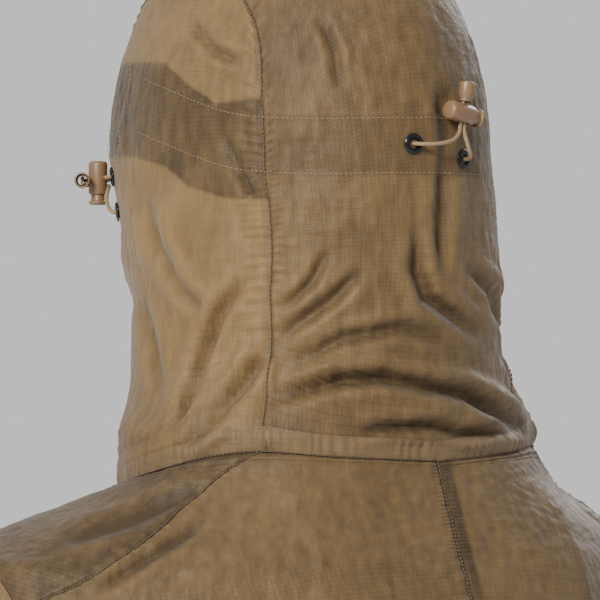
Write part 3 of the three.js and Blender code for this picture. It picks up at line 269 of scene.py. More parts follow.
def hood_centre_at(across: Array, up: Array) -> Array:
    """The hood's centre panel: across -1 to 1, up 0 at the neck to 1 at the brim."""
    foot = neck_seam(across * SHOULDER_TURN)
    swing, lean = hood_angles(foot)
    brim = np.radians(BRIM_SWING + (BRIM_SEAM_SWING - BRIM_SWING) * across**2)
    seam_swing = SEAM_FOOT[0] + (math.radians(BRIM_SEAM_SWING) - SEAM_FOOT[0]) * up
    leaning = np.radians(along(SEAM_LEAN, np.degrees(seam_swing))) * across
    leaning = leaning + (lean - across * SEAM_FOOT[1]) * (1 - up) ** 2
    swinging = swing + (brim - swing) * up
    level = np.cos(leaning)
    way = np.stack([np.sin(leaning), level * np.cos(swinging), level * np.sin(swinging)], -1)
    return on_hood(HOOD_HEART + way * 50) + (foot - on_hood(foot)) * ((1 - up) ** 6)[:, None]


def hood_spot(turn: Array, height: Array, lift: float = 0.0) -> Array:
    """A point of the hood at a turn round it and a height, lifted off along its normal."""
    z = np.minimum(height, BROW_HEIGHT)
    rise = np.sqrt(np.maximum(0, 1 - (np.maximum(0, height - BROW_HEIGHT) / CROWN_RISE) ** 2))
    angle = np.radians(turn)
    back = np.cos(angle)
    p = np.stack([along(HOOD_HALF_WIDTH, z) * rise * np.sin(angle),
                  along(HOOD_CENTRE_LINE, z) + hood_reach(back, z) * rise * back, height + 0 * turn], -1)
    return p + normal_of(hood_form, p) * lift


def front_edge(z: Array) -> Array:
    """The left front edge beside the zip, at heights."""
    z = np.asarray(z, float)
    return np.stack([np.full_like(z, FRONT_EDGE_X), front_line(z), z], -1)


CHIN = ((16, -101, 47), (32, -108, 54), (45, -111, 66))
CHEEK = on_hood(np.array(
    ((53, -110, 84), (57, -111, 106), (60, -114, 130), (61, -113, 155), (59, -110, 180)), float))


def armhole(turn: Array) -> Array:
    """Points of the left armhole seam, in degrees from its top towards the back."""
    a = np.radians(turn)
    return ARMHOLE_CENTRE + np.stack([ARMHOLE_LEAN * np.cos(a), ARMHOLE_HALF_DEPTH * np.sin(a),
                                      ARMHOLE_HALF_HEIGHT * np.cos(a)], -1)


SHOULDER_POINTS = (neck_seam(np.array([SHOULDER_TURN]))[0], (103, 38, -19), (119, 34, -32), (136, 36, -43),
                   (156, 36, -54.5), (178, 30, -68), armhole(np.array([SHOULDER_RING]))[0])


def side_seam(down: Array) -> Array:
    """Points of the left side seam, 0 under the arm to 1 at the hem."""
    under = armhole(np.array([180.0]))[0]

    def laid(z: Array, lift: Array) -> Array:
        middle = (along(TORSO_BACK, z) + front_line(z)) / 2 - lift
        return on_torso(np.stack([np.full_like(z, 300.0), middle, z], -1))

    z = under[2] + (HEM_HEIGHT - under[2]) * down
    start = laid(np.array([under[2]]), np.array([6.0]))
    return laid(z, 6 * (1 - down)) + (under - start) * ((1 - down) ** 3)[:, None]


def outer_rim(v: Array, under_turn: float, armhole_rows: int) -> Array:
    """A body panel's outer rim from the neck down: shoulder seam, armhole, side seam."""
    shoulder_end = 6 / (13 + armhole_rows)
    arm_end = (6 + armhole_rows) / (13 + armhole_rows)
    seam = spline(SHOULDER_POINTS, v / shoulder_end)
    round_arm = np.clip((v - shoulder_end) / (arm_end - shoulder_end), 0, 1)
    arm = armhole(SHOULDER_RING + (under_turn - SHOULDER_RING) * round_arm)
    side = side_seam(np.clip((v - arm_end) / (1 - arm_end), 0, 1))
    return np.where((v < shoulder_end)[:, None], seam, np.where((v < arm_end)[:, None], arm, side))


def row_heights(v: Array, top: float, at_shoulder: float, at_underarm: float, armhole_rows: int) -> Array:
    """Heights of a body panel's inner rim for the rows of its outer rim."""
    places = np.array([0, 6, 6 + armhole_rows, 13 + armhole_rows]) / (13 + armhole_rows)
    return np.interp(v, places, [top, at_shoulder, at_underarm, HEM_HEIGHT])


@dataclass
class Coons:
    """A surface stretched between four rims and laid on a form.

    Args:
        inner, outer: Rims at u = 0 and u = 1, as functions of v.
        top, foot: Rims at v = 0 and v = 1, as functions of u.
        lay: Moves points on to the form.
    """

    inner: Callable[[Array], Array]
    outer: Callable[[Array], Array]
    top: Callable[[Array], Array]
    foot: Callable[[Array], Array]
    lay: Callable[[Array], Array]

    def __call__(self, u: Array, v: Array) -> Array:
        """Points of the surface at u and v."""
        zero, one = np.zeros(1), np.ones(1)
        a, b, c, d = self.inner(v), self.outer(v), self.top(u), self.foot(u)
        corners = [self.inner(zero), self.outer(zero), self.inner(one), self.outer(one)]
        u, v = u[:, None], v[:, None]
        p = a * (1 - u) + b * u + c * (1 - v) + d * v
        p = p - corners[0] * (1 - u) * (1 - v) - corners[1] * u * (1 - v)
        p = p - corners[2] * (1 - u) * v - corners[3] * u * v
        near_inner, near_outer, near_top = (1 - u) ** 3, u**3, (1 - v) ** 12

        def fault(q: Array) -> Array:
            return q - self.lay(q)

        head = fault(c) - fault(corners[0]) * near_inner - fault(corners[1]) * near_outer
        return self.lay(p) + fault(a) * near_inner + fault(b) * near_outer + head * near_top


def back_surface() -> Coons:
    """The left back panel: u from the centre back out, v from the neck down."""
    def inner(v: Array) -> Array:
        z = row_heights(v, float(neck_seam(np.zeros(1))[0, 2]), -58, -236, 8)
        return np.stack([0 * z, along(TORSO_BACK, z), z], -1)

    def foot(u: Array) -> Array:
        p = inner(np.ones(1)) * (1 - u)[:, None] + side_seam(np.ones(1)) * u[:, None]
        p[:, 1] += 240 * u * (1 - u)
        return on_torso(p)

    return Coons(inner, lambda v: outer_rim(v, 180, 8), lambda u: neck_seam(u * SHOULDER_TURN), foot,
                 on_torso)


def front_surface() -> Coons:
    """The left front panel: u from the zip out, v from the neck down."""
    def inner(v: Array) -> Array:
        return front_edge(row_heights(v, NECK_FRONT_HEIGHT, -64, -240, 12))

    def foot(u: Array) -> Array:
        p = inner(np.ones(1)) * (1 - u)[:, None] + side_seam(np.ones(1)) * u[:, None]
        p[:, 1] -= 240 * u * (1 - u)
        return on_torso(p)

    def top(u: Array) -> Array:
        return neck_seam(FRONT_TURN + (SHOULDER_TURN - FRONT_TURN) * u)

    return Coons(inner, lambda v: outer_rim(v, -180, 12), top, foot, on_torso)


def hood_side_surface() -> Coons:
    """The hood's left side: u from the seam to the face, v from the neck up."""
    corner = 0.72

    def face(v: Array) -> Array:
        points = [front_edge(NECK_FRONT_HEIGHT), front_edge(0.0), front_edge(ZIP_TOP[2]), *CHIN, *CHEEK,
                  hood_centre_at(np.ones(1), np.ones(1))[0]]
        return spline(points, v, even=True)

    def neck(u: Array) -> Array:
        return neck_seam(SHOULDER_TURN + (FRONT_TURN - SHOULDER_TURN) * u)

    return Coons(lambda v: hood_centre_at(np.ones_like(v), v * corner), face, neck,
                 lambda u: hood_centre_at(np.ones_like(u), corner + (1 - corner) * u), on_hood)


def sleeve_surface(u: Array, v: Array) -> Array:
    """The left sleeve: u once round from its underarm seam, v from the armhole to the cuff."""
    out = np.array([0, 0, 1.0]) - ARM_DIRECTION * ARM_DIRECTION[2]
    out /= np.linalg.norm(out)
    back = np.cross(out, ARM_DIRECTION)
    back = back if back[1] > 0 else -back
    turn = 180 - 360 * u
    first = SLEEVE_FIRST_RING / SLEEVE_LENGTH
    distance = np.maximum(v, first) * SLEEVE_LENGTH
    share = (distance - SLEEVE_FIRST_RING) / (SLEEVE_LENGTH - SLEEVE_FIRST_RING)
    radius = (SLEEVE_TOP_RADIUS + (SLEEVE_END_RADIUS - SLEEVE_TOP_RADIUS) * share)[:, None]
    a = np.radians(turn)[:, None]
    ring = ARM_START + distance[:, None] * ARM_DIRECTION + radius * (out * np.cos(a) + back * np.sin(a))
    near = np.clip(v / first, 0, 1)[:, None]
    return np.where(near < 1, armhole(turn) * (1 - near) + ring * near, ring)


# ---- How the cloth creases --------------------------------------------------------------
VIEW_WAY = np.array([0.616, 0.788, 0.0])
VIEW_ACROSS = np.array([-0.788, 0.616, 0.0])
FLIP = np.array([-1.0, 1.0, 1.0])


@dataclass(frozen=True)
class Fold:
    """A crease along a line, in a plane facing the jacket's left back quarter.

    Args:
        path: Its points, across and up, in millimetres.
        depth: How far it dips, or stands out when negative.
        width: Half its width.
    """

    path: tuple[tuple[float, float], ...]
    depth: float
    width: float

    def lift(self, across: Array, up: Array) -> Array:
        """How far the cloth stands out at each point."""
        best = np.full(across.shape, 1e9)
        share = np.zeros(across.shape)
        steps = len(self.path) - 1
        for i, (a, b) in enumerate(zip(self.path, self.path[1:])):
            dx, dy = b[0] - a[0], b[1] - a[1]
            t = np.clip(((across - a[0]) * dx + (up - a[1]) * dy) / (dx * dx + dy * dy), 0, 1)
            gap = np.hypot(across - a[0] - t * dx, up - a[1] - t * dy)
            nearer = gap < best
            best, share = np.where(nearer, gap, best), np.where(nearer, (i + t) / steps, share)
        valley = np.exp(-((best / self.width) ** 2))
        shoulder = np.exp(-(((best - 2.1 * self.width) / (1.1 * self.width)) ** 2))
        return 2.1 * self.depth * smooth(np.minimum(share, 1 - share) / 0.25) * (0.5 * shoulder - valley)


FOLDS = (
    Fold(((-45, 80), (-59, 58), (-66, 40), (-74, 16), (-82, 0)), 2.6, 3.2),
    Fold(((-36, 44), (-44, 28), (-62, 7), (-80, -8)), 2.8, 3.4),
    Fold(((-44, 16), (-17, 22), (1, 27), (21, 28), (43, 23), (63, 19), (89, 4), (98, -5)), 3.4, 3.4),
    Fold(((2, 0), (21, 4), (47, 4), (59, 0), (77, 1), (98, -2)), 2.2, 2.6),
    Fold(((39, 108), (38, 80), (43, 67), (57, 57), (73, 44)), 2.6, 3.6),
    Fold(((49, 176), (52, 145), (50, 110), (48, 66)), 1.7, 3.4),
    Fold(((-32, 46), (-4, 65), (12, 81)), 1.7, 3.0),
    Fold(((-25, 34), (2, 47), (30, 52), (58, 45)), 1.5, 3.0),
    Fold(((-28, 60), (-14, 74), (-4, 92)), 1.2, 2.4),
    Fold(((62, 84), (76, 70), (82, 52)), 1.6, 3.0),
    Fold(((-58, 150), (-48, 128), (-40, 112)), 1.3, 2.6),
    Fold(((-96, 120), (-90, 92), (-78, 70), (-64, 58)), 1.3, 3.0),
    Fold(((-100, 70), (-92, 45), (-88, 15)), 1.2, 3.0),
    Fold(((-75, 205), (-62, 188), (-46, 181)), 1.2, 2.6),
    Fold(((-10, 205), (-2, 185), (0, 166)), 0.9, 2.6),
    Fold(((-140, -52), (-100, -40), (-62, -22)), 1.3, 3.0),
    Fold(((-120, -75), (-88, -55), (-60, -38)), 1.1, 2.6),
)


@dataclass(frozen=True)
class Crinkle:
    """Small uneven creases all over a cloth.

    Args:
        seed: Which of the like patterns it is.
        finest, coarsest: The range of crease spacings, in millimetres.
        height: The tallest crease, in millimetres.
        lean: How much the creases' way across favours X, Y and Z.
    """

    seed: int
    finest: float
    coarsest: float
    height: float
    lean: tuple[float, float, float]

    def lift(self, p: Array) -> Array:
        """How far the cloth stands out at each point."""
        random = np.random.default_rng(self.seed)
        waves, total, weights = 22, np.zeros(len(p)), 0.0
        for _ in range(waves):
            way = random.normal(size=3) * self.lean
            way /= np.linalg.norm(way)
            bend = random.normal(size=3)
            bend /= np.linalg.norm(bend)
            spacing = math.exp(random.uniform(math.log(self.finest), math.log(self.coarsest)))
            sway = 1.7 * np.sin(p @ bend * 2 * math.pi / (spacing * 4.5) + random.uniform(0, 6))
            along_patch = p @ np.roll(bend, 1) * 2 * math.pi / (spacing * 6)
            patch = 0.5 + 0.5 * np.sin(along_patch + random.uniform(0, 6))
            phase = p @ way * math.pi / spacing + sway + random.uniform(0, 6)
            weight = spacing / self.coarsest
            total += weight * patch * (1 - 1.6 * np.abs(np.sin(phase)))
            weights += weight**2
        return self.height * total / math.sqrt(weights)


FINE = Crinkle(5, 3.6, 15.0, 0.36, (0.7, 0.7, 1.3))
BROAD = Crinkle(9, 22.0, 70.0, 0.95, (1.0, 1.0, 0.75))
RIPPLE = Crinkle(13, 5.0, 10.0, 0.5, (0.15, 0.15, 1.6))
PLEAT = Crinkle(21, 5.0, 13.0, 0.42, (1.0, 1.0, 0.35))
EYELET_SPOTS = {
    "back_eyelet_left": (9.5, 141.5), "back_eyelet_right": (-12.0, 134.5),
    "face_eyelet_upper_left": (127.0, 128.0), "face_eyelet_lower_left": (127.0, 110.0),
    "face_eyelet_upper_right": (-127.0, 128.0), "face_eyelet_lower_right": (-127.0, 110.0),
}
EYELET_POINTS = {n: hood_spot(np.array([t]), np.array([h]))[0] for n, (t, h) in EYELET_SPOTS.items()}


def band_turn(p: Array) -> Array:
    """Degrees round the hood from the centre back."""
    z = np.clip(p[:, 2], 0, BROW_HEIGHT)
    back = p[:, 1] - along(HOOD_CENTRE_LINE, z)
    return np.degrees(np.arctan2(p[:, 0] / along(HOOD_HALF_WIDTH, z), back / hood_reach(back, z)))


def band_share(p: Array) -> Array:
    """Near 1 on the two-ply band round the hood and 0 off it."""
    turn = np.abs(band_turn(p))
    off = np.abs(p[:, 2] - along(BAND_MIDDLE, turn))
    return smooth((BAND_HALF_WIDTH + 0.8 - off) / 1.6) * smooth((107 - turn) / 3)


def crease(p: Array, n: Array) -> Array:
    """How far the worn cloth stands off its form at points with outward directions."""
    total = BROAD.lift(p) * smooth((np.abs(p[:, 2] - 5) - 12) / 30) + FINE.lift(p)
    on_back = smooth((-6 - p[:, 2]) / 12) * smooth(n[:, 1] / 0.5)
    total = total + PLEAT.lift(p) * smooth((p[:, 2] - 12) / 14)
    total = total + RIPPLE.lift(p) * on_back * smooth((95 - np.abs(p[:, 0] + 10)) / 60)
    for flip, way in ((np.ones(3), 1.0), (FLIP, -1.0)):
        q, m = p * flip, n * flip
        seen = smooth((m @ VIEW_WAY + 0.15) / 0.4)
        if way < 0:
            seen = seen * smooth((0.3 - n @ VIEW_WAY) / 0.35)
        for fold in FOLDS:
            total = total + seen * fold.lift(q @ VIEW_ACROSS, q[:, 2])
    quiet = np.ones(len(p))
    for spot in EYELET_POINTS.values():
        quiet = quiet * smooth(np.linalg.norm(p - spot, axis=1) / 9 - 0.7)
    return total * quiet * (1 - 0.45 * band_share(p) * (p[:, 2] > 60))


# ---- Finishes ---------------------------------------------------------------------------
Colour = tuple[float, float, float]


def socket(node: bpy.types.Node, name: str, value) -> None:
    """Sets one of a node's inputs."""
    node.inputs[name].default_value = value


class Tree:
    """A material's nodes, with short ways to add and join them."""

    def __init__(self, name: str) -> None:
        self.material = bpy.data.materials.new(name)
        self.material.use_nodes = True
        self.nodes = self.material.node_tree.nodes
        self.links = self.material.node_tree.links
        self.surface = self.nodes["Principled BSDF"]

    def add(self, kind: str, **settings) -> bpy.types.Node:
        """A new node with its settings."""
        node = self.nodes.new(kind)
        for key, value in settings.items():
            setattr(node, key, value)
        return node

    def join(self, out, into) -> None:
        """Links an output to an input."""
        self.links.new(out, into)

    def sum(self, kind: str, a, b, clamp: bool = False):
        """A maths node's result, from numbers or outputs."""
        node = self.add("ShaderNodeMath", operation=kind, use_clamp=clamp)
        for place, value in enumerate((a, b)):
            if isinstance(value, (int, float)):
                node.inputs[place].default_value = value
            else:
                self.join(value, node.inputs[place])
        return node.outputs[0]

    def mixed(self, share, a, b):
        """A colour between two, by a share."""
        node = self.add("ShaderNodeMix", data_type="RGBA")
        for place, value in ((0, share), (6, a), (7, b)):
            if isinstance(value, tuple):
                node.inputs[place].default_value = (*value, 1)
            elif isinstance(value, (int, float)):
                node.inputs[place].default_value = value
            else:
                self.join(value, node.inputs[place])
        return node.outputs[2]

    def noise(self, scale: float, detail: float, stretch: tuple[float, float, float] = (1, 1, 1)):
        """A noise over the object's own space, stretched along its axes."""
        place = self.add("ShaderNodeTexCoord")
        mapping = self.add("ShaderNodeMapping")
        socket(mapping, "Scale", stretch)
        self.join(place.outputs["Object"], mapping.inputs["Vector"])
        node = self.add("ShaderNodeTexNoise")
        socket(node, "Scale", scale)
        socket(node, "Detail", detail)
        self.join(mapping.outputs[0], node.inputs["Vector"])
        return node.outputs[0]

    def bump(self, height, distance: float, strength: float = 1.0, under=None):
        """A bumped normal."""
        node = self.add("ShaderNodeBump")
        socket(node, "Distance", distance)
        socket(node, "Strength", strength)
        self.join(height, node.inputs["Height"])
        if under is not None:
            self.join(under, node.inputs["Normal"])
        return node.outputs[0]


@dataclass(frozen=True)
class ClothFinish:
    """A woven cloth.

    Args:
        name: The material's name.
        light, dark: Its colour in painted light through one ply and in painted shade where plies stack.
        weave: How it is woven.
        through: Share of the light that goes through it.
    """

    name: str
    light: Colour
    dark: Colour
    weave: Weave = Weave.RIPSTOP
    through: float = 0.16

    def make(self) -> bpy.types.Material:
        """The finished material."""
        tree = Tree(self.name)
        # The layers attribute carries painted light and shade; random streaks, blotches and the weave are
        # added to it below.
        layers = tree.add("ShaderNodeAttribute", attribute_name="layers").outputs["Fac"]
        cells = tree.add("ShaderNodeSeparateXYZ")
        tree.join(tree.add("ShaderNodeUVMap", uv_map="cut").outputs[0], cells.inputs[0])
        threads = None
        for axis in (0, 1):
            place = tree.sum("FRACT", tree.sum("DIVIDE", cells.outputs[axis], self.weave.value), 0)
            line = tree.sum("LESS_THAN", tree.sum("ABSOLUTE", tree.sum("SUBTRACT", place, 0.5), 0), 0.075)
            threads = line if threads is None else tree.sum("MAXIMUM", threads, line)
        streaks = tree.noise(190, 5, (1, 1, 0.35))
        blotch = tree.noise(14, 3)
        uneven = tree.sum("ADD", tree.sum("MULTIPLY", streaks, 0.55), tree.sum("MULTIPLY", blotch, 0.45))
        shade = tree.sum("ADD", layers, tree.sum("MULTIPLY", tree.sum("SUBTRACT", uneven, 0.5), 1.3))
        shade = tree.sum("ADD", shade, tree.sum("MULTIPLY", threads, 0.13), clamp=True)
        colour = tree.mixed(shade, self.light, self.dark)
        slack = tree.sum("ADD", tree.noise(150, 5, (1, 1, 0.22)), tree.noise(150, 5, (0.22, 0.22, 1)))
        creases = tree.bump(slack, 0.0013, 0.9)
        weave = tree.bump(threads, 0.0001, 0.5, creases)
        tree.join(colour, tree.surface.inputs["Base Color"])
        tree.join(weave, tree.surface.inputs["Normal"])
        tree.join(tree.sum("ADD", tree.sum("MULTIPLY", streaks, 0.2), 0.52), tree.surface.inputs["Roughness"])
        socket(tree.surface, "Specular IOR Level", 0.3)
        socket(tree.surface, "Sheen Weight", 0.12)
        lit = tree.add("ShaderNodeBsdfTranslucent")
        tree.join(colour, lit.inputs["Color"])
        tree.join(weave, lit.inputs["Normal"])
        both = tree.add("ShaderNodeMixShader")
        socket(both, "Fac", self.through)
        tree.join(tree.surface.outputs[0], both.inputs[1])
        tree.join(lit.outputs[0], both.inputs[2])
        tree.join(both.outputs[0], tree.nodes["Material Output"].inputs["Surface"])
        return tree.material


@dataclass(frozen=True)
class SolidFinish:
    """A plastic, metal, thread or cord.

    Args:
        name: The material's name.
        base, worn: Its colour and the colour it varies towards.
        roughness: How dull it is.
        metallic: 1 for bare metal.
        grain: Size of its surface noise, per metre.
        relief: Depth of the noise, in metres.
        stretch: The noise's stretch along X, Y and Z.
    """

    name: str
    base: Colour
    worn: Colour
    roughness: float
    metallic: float = 0.0
    grain: float = 600.0
    relief: float = 0.00002
    stretch: tuple[float, float, float] = (1, 1, 1)

    def make(self) -> bpy.types.Material:
        """The finished material."""
        tree = Tree(self.name)
        grain = tree.noise(self.grain, 3, self.stretch)
        tree.join(tree.mixed(grain, self.base, self.worn), tree.surface.inputs["Base Color"])
        rough = tree.sum("ADD", tree.sum("MULTIPLY", grain, 0.18), self.roughness - 0.09)
        tree.join(rough, tree.surface.inputs["Roughness"])
        tree.join(tree.bump(grain, self.relief), tree.surface.inputs["Normal"])
        socket(tree.surface, "Metallic", self.metallic)
        return tree.material


class Finishes:
    """Every material on the jacket, made once."""

    def __init__(self) -> None:
        # cloth_light is the ripstop in painted light through one ply, cloth_dark its painted shade where
        # plies stack and in creases.
        cloth_light, cloth_dark = (0.2, 0.121, 0.044), (0.044, 0.0245, 0.007)
        self.ripstop = ClothFinish("coyote_ripstop", cloth_light, cloth_dark).make()
        self.band = ClothFinish("gathered_band", (0.16, 0.1, 0.042), (0.07, 0.042, 0.016),
                                through=0.05).make()
        self.tape = ClothFinish("woven_tape", (0.2, 0.14, 0.075), (0.11, 0.075, 0.04), Weave.TAPE, 0.0).make()
        self.trim = SolidFinish("coyote_plastic", (0.17, 0.098, 0.045), (0.135, 0.077, 0.034), 0.4).make()
        self.enamel = SolidFinish("black_enamel", (0.018, 0.019, 0.022), (0.03, 0.032, 0.036), 0.2,
                                  0.85).make()
        self.zip_metal = SolidFinish("dark_zip_metal", (0.05, 0.042, 0.032), (0.08, 0.066, 0.05), 0.34,
                                     0.8).make()
        self.steel = SolidFinish("spring_steel", (0.5, 0.5, 0.5), (0.4, 0.4, 0.41), 0.3, 1.0).make()
        self.nylon = SolidFinish("zip_nylon", (0.11, 0.075, 0.04), (0.085, 0.056, 0.03), 0.4).make()
        self.cord = SolidFinish("braided_elastic", (0.27, 0.18, 0.088), (0.15, 0.095, 0.043), 0.72,
                                grain=1500, relief=0.00025, stretch=(1, 1, 0.6)).make()
        self.thread = SolidFinish("tan_thread", (0.3, 0.205, 0.11), (0.22, 0.15, 0.078), 0.65,
                                  grain=2500).make()
        self.dark_thread = SolidFinish("dark_thread", (0.06, 0.043, 0.026), (0.09, 0.064, 0.038), 0.75,
                                       grain=2500).make()


# ---- Making pieces ----------------------------------------------------------------------
def sided(points: Array, side: Side) -> Array:
    """Points made for the left, moved to a side."""
    return points * np.array([side.value, 1.0, 1.0])


def finished(mesh: bpy.types.Mesh, name: str, material: bpy.types.Material, body: str,
             nodes: Sequence[str] = ()) -> bpy.types.Object:
    """An object from a mesh that rides on a body and stands for CAD nodes."""
    for polygon in mesh.polygons:
        polygon.use_smooth = True
    mesh.materials.append(material)
    piece = bpy.data.objects.new(name, mesh)
    bpy.context.scene.collection.objects.link(piece)
    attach(piece, body)
    if nodes:
        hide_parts(*nodes)
    return piece


@dataclass
class Panel:
    """One cut piece of cloth.

    Args:
        name: The piece's name.
        surface: Gives its points, in millimetres, for places across and down it.
        cut: Its flat width and length, in metres.
        segments: Its divisions across and down.
        form: The form that it lies on, if it has one.
        layers: Gives its painted light, 0 for light through one ply to 1 for painted shade where plies stack.
        relief: Gives how far it stands off its surface, at points with outward directions.
        shaded: How much painted shade darkens its valleys and painted light lifts its ridges.
    """

    name: str
    surface: Surface
    cut: tuple[float, float]
    segments: tuple[int, int]
    form: Form | None = None
    layers: Callable[[Array], Array] = field(default=lambda p: np.full(len(p), 0.4))
    relief: Callable[[Array, Array, Array, Array], Array] = field(default=lambda p, n, u, v: crease(p, n))
    shaded: float = 1.0

    def build(self, material: bpy.types.Material, slot: str, nodes: Sequence[str], side: Side = Side.LEFT,
              held: str = "hung") -> bpy.types.Object:
        bm = bmesh.new()
        bmesh.ops.create_grid(bm, x_segments=self.segments[0], y_segments=self.segments[1], size=0.5)
        mesh = bpy.data.meshes.new(self.name)
        bm.to_mesh(mesh)
        bm.free()
        count = len(mesh.vertices)
        co = np.zeros(count * 3)
        mesh.vertices.foreach_get("co", co)
        u, v = (np.clip(co.reshape(-1, 3)[:, :2] + 0.5, 0, 1)).T
        points = sided(self.surface(u, v), side)
        mesh.vertices.foreach_set("co", (points * MM).ravel())
        mesh.update()
        normals = np.zeros(count * 3)
        mesh.vertices.foreach_get("normal", normals)
        normals = normals.reshape(-1, 3)
        middle = points.mean(axis=0)
        if self.form is not None:
            outward = normal_of(self.form, points)
        else:
            outward = normals if np.sum((points - middle) * normals) > 0 else -normals
        if np.sum(normals * outward) < 0:
            mesh.flip_normals()
        relief = self.relief(points, outward, u, v)
        mesh.vertices.foreach_set("co", ((points + outward * relief[:, None]) * MM).ravel())
        attribute = mesh.attributes.new("layers", "FLOAT", "POINT")
        # Painted shade darkens the crease valleys and painted light lifts the ridges, on top of the painted
        # light through the cloth.
        painted_light_and_crease_shade = self.layers(points) + np.clip(-0.11 * relief, -0.12, 0.22) * self.shaded
        attribute.data.foreach_set("value", painted_light_and_crease_shade.astype(np.float32))
        corner = np.zeros(len(mesh.loops), np.int32)
        mesh.loops.foreach_get("vertex_index", corner)
        flat = np.stack([u * self.cut[0], v * self.cut[1]], -1)[corner]
        mesh.uv_layers.new(name="cut").data.foreach_set("uv", flat.ravel())
        mesh.update()
        piece = finished(mesh, self.name, material, "jacket", nodes)
        # This holds the area inside the declared rectangle, which is too small for the back panels: they
        # measure 0.1590 m2 and are declared at 0.1551.
        return piece


def stitches(name: str, path: Array, normals: Array, material: bpy.types.Material, pitch: float = 2.5,
             length: float = 1.75, width: float = 0.3) -> bpy.types.Object:
    """A row of separate stitches along a path.

    Args:
        name: The piece's name.
        path: Closely set points, in millimetres.
        normals: The outward direction at each.
        material: The thread.
        pitch: From one stitch to the next.
        length: Each stitch's length.
        width: Each stitch's width.

    Returns:
        The row as one object.
    """
    run = np.concatenate([[0], np.cumsum(np.linalg.norm(np.diff(path, axis=0), axis=1))])
    at = np.arange(pitch / 2, run[-1], pitch)
    places = np.stack([np.interp(at, run, path[:, k]) for k in range(3)], -1)
    ahead = np.stack([np.interp(at + 0.6, run, path[:, k]) for k in range(3)], -1)
    behind = np.stack([np.interp(at - 0.6, run, path[:, k]) for k in range(3)], -1)
    out = np.stack([np.interp(at, run, normals[:, k]) for k in range(3)], -1)
    way = ahead - behind
    way /= np.linalg.norm(way, axis=1, keepdims=True)
    across = np.cross(out, way)
    across /= np.linalg.norm(across, axis=1, keepdims=True)
    out = np.cross(way, across)
    bm = bmesh.new()
    bmesh.ops.create_icosphere(bm, subdivisions=2, radius=0.5)
    one = np.array([v.co for v in bm.verts])
    faces = np.array([[v.index for v in f.verts] for f in bm.faces])
    bm.free()
    points = (places[:, None] + one[None, :, :1] * length * way[:, None]
              + one[None, :, 1:2] * width * across[:, None] + one[None, :, 2:] * width * out[:, None])
    faces = (faces[None] + (np.arange(len(at)) * len(one))[:, None, None]).reshape(-1, 3)
    mesh = bpy.data.meshes.new(name)
    mesh.from_pydata((points.reshape(-1, 3) * MM).tolist(), [], faces.tolist())
    return finished(mesh, name, material, "jacket")


def sewn(name: str, points: Array, form: Form, material: bpy.types.Material, lift: float = 0.12,
         side: Side = Side.LEFT, **sizes: float) -> bpy.types.Object:
    """A row of stitches that lies on the creased cloth."""
    points = sided(points, side)
    normals = normal_of(form, points)
    laid = points + normals * (crease(points, normals) + lift)[:, None]
    return stitches(name, laid, normals, material, **sizes)


def turned(outline: Sequence[tuple[float, float]], name: str, bevel: float = 0.18,
           steps: int = 48) -> bpy.types.Mesh:
    """A turned part about Z from its outline of radius and height, with softened edges."""
    bm = bmesh.new()
    first = bmesh.ops.create_vert(bm, co=(outline[0][0] * MM, 0, outline[0][1] * MM))["vert"]
    verts = first + [bmesh.ops.create_vert(bm, co=(r * MM, 0, z * MM))["vert"][0] for r, z in outline[1:]]
    edges = [bm.edges.new(pair) for pair in zip(verts, verts[1:])]
    if outline[0][0] > 0:
        edges.append(bm.edges.new((verts[-1], verts[0])))
    bmesh.ops.spin(bm, geom=verts + edges, cent=(0, 0, 0), axis=(0, 0, 1), angle=2 * math.pi, steps=steps,
                   use_merge=True)
    bmesh.ops.remove_doubles(bm, verts=bm.verts, dist=1e-6)
    bmesh.ops.recalc_face_normals(bm, faces=bm.faces)
    sharp = [e for e in bm.edges if len(e.link_faces) == 2 and e.calc_face_angle() > math.radians(35)]
    bmesh.ops.bevel(bm, geom=sharp, offset=bevel * MM, offset_type="OFFSET", affect="EDGES", segments=3,
                    profile=0.5, material=-1, clamp_overlap=True)
    mesh = bpy.data.meshes.new(name)
    bm.to_mesh(mesh)
    bm.free()
    return mesh


def placed(origin: Array, z_way: Array, y_way: Array) -> Matrix:
    """A placing with its Z along one direction and its Y near another, from millimetres."""
    z = Vector(z_way).normalized()
    x = Vector(y_way).cross(z).normalized()
    y = z.cross(x)
    turn = Matrix((x, y, z)).transposed().to_4x4()
    return Matrix.Translation(Vector(origin) * MM) @ turn


def cut_through(mesh: bpy.types.Mesh, width: float, length: float, at: float) -> bpy.types.Mesh:
    """Cuts a round-ended slot across a turned part, along its Y."""
    bm = bmesh.new()
    bmesh.ops.create_cube(bm, size=1, matrix=Matrix.Diagonal((width * MM, 40 * MM, length * MM, 1)))
    upright = [e for e in bm.edges if abs((e.verts[0].co - e.verts[1].co).y) > 10 * MM]
    bmesh.ops.bevel(bm, geom=upright, offset=0.49 * width * MM, offset_type="OFFSET", affect="EDGES",
                    segments=8, profile=0.5, material=-1)
    bmesh.ops.translate(bm, verts=bm.verts, vec=(0, 0, at * MM))
    cutter_mesh = bpy.data.meshes.new("slot_cutter")
    bm.to_mesh(cutter_mesh)
    bm.free()
    cutter = bpy.data.objects.new("slot_cutter", cutter_mesh)
    body = bpy.data.objects.new("slotted", mesh)
    for item in (cutter, body):
        bpy.context.scene.collection.objects.link(item)
    boolean = body.modifiers.new("slot", "BOOLEAN")
    boolean.operation, boolean.solver, boolean.object = "DIFFERENCE", "EXACT", cutter
    made = bpy.data.meshes.new_from_object(body.evaluated_get(bpy.context.evaluated_depsgraph_get()))
    for item in (cutter, body):
        bpy.data.objects.remove(item)
    return made


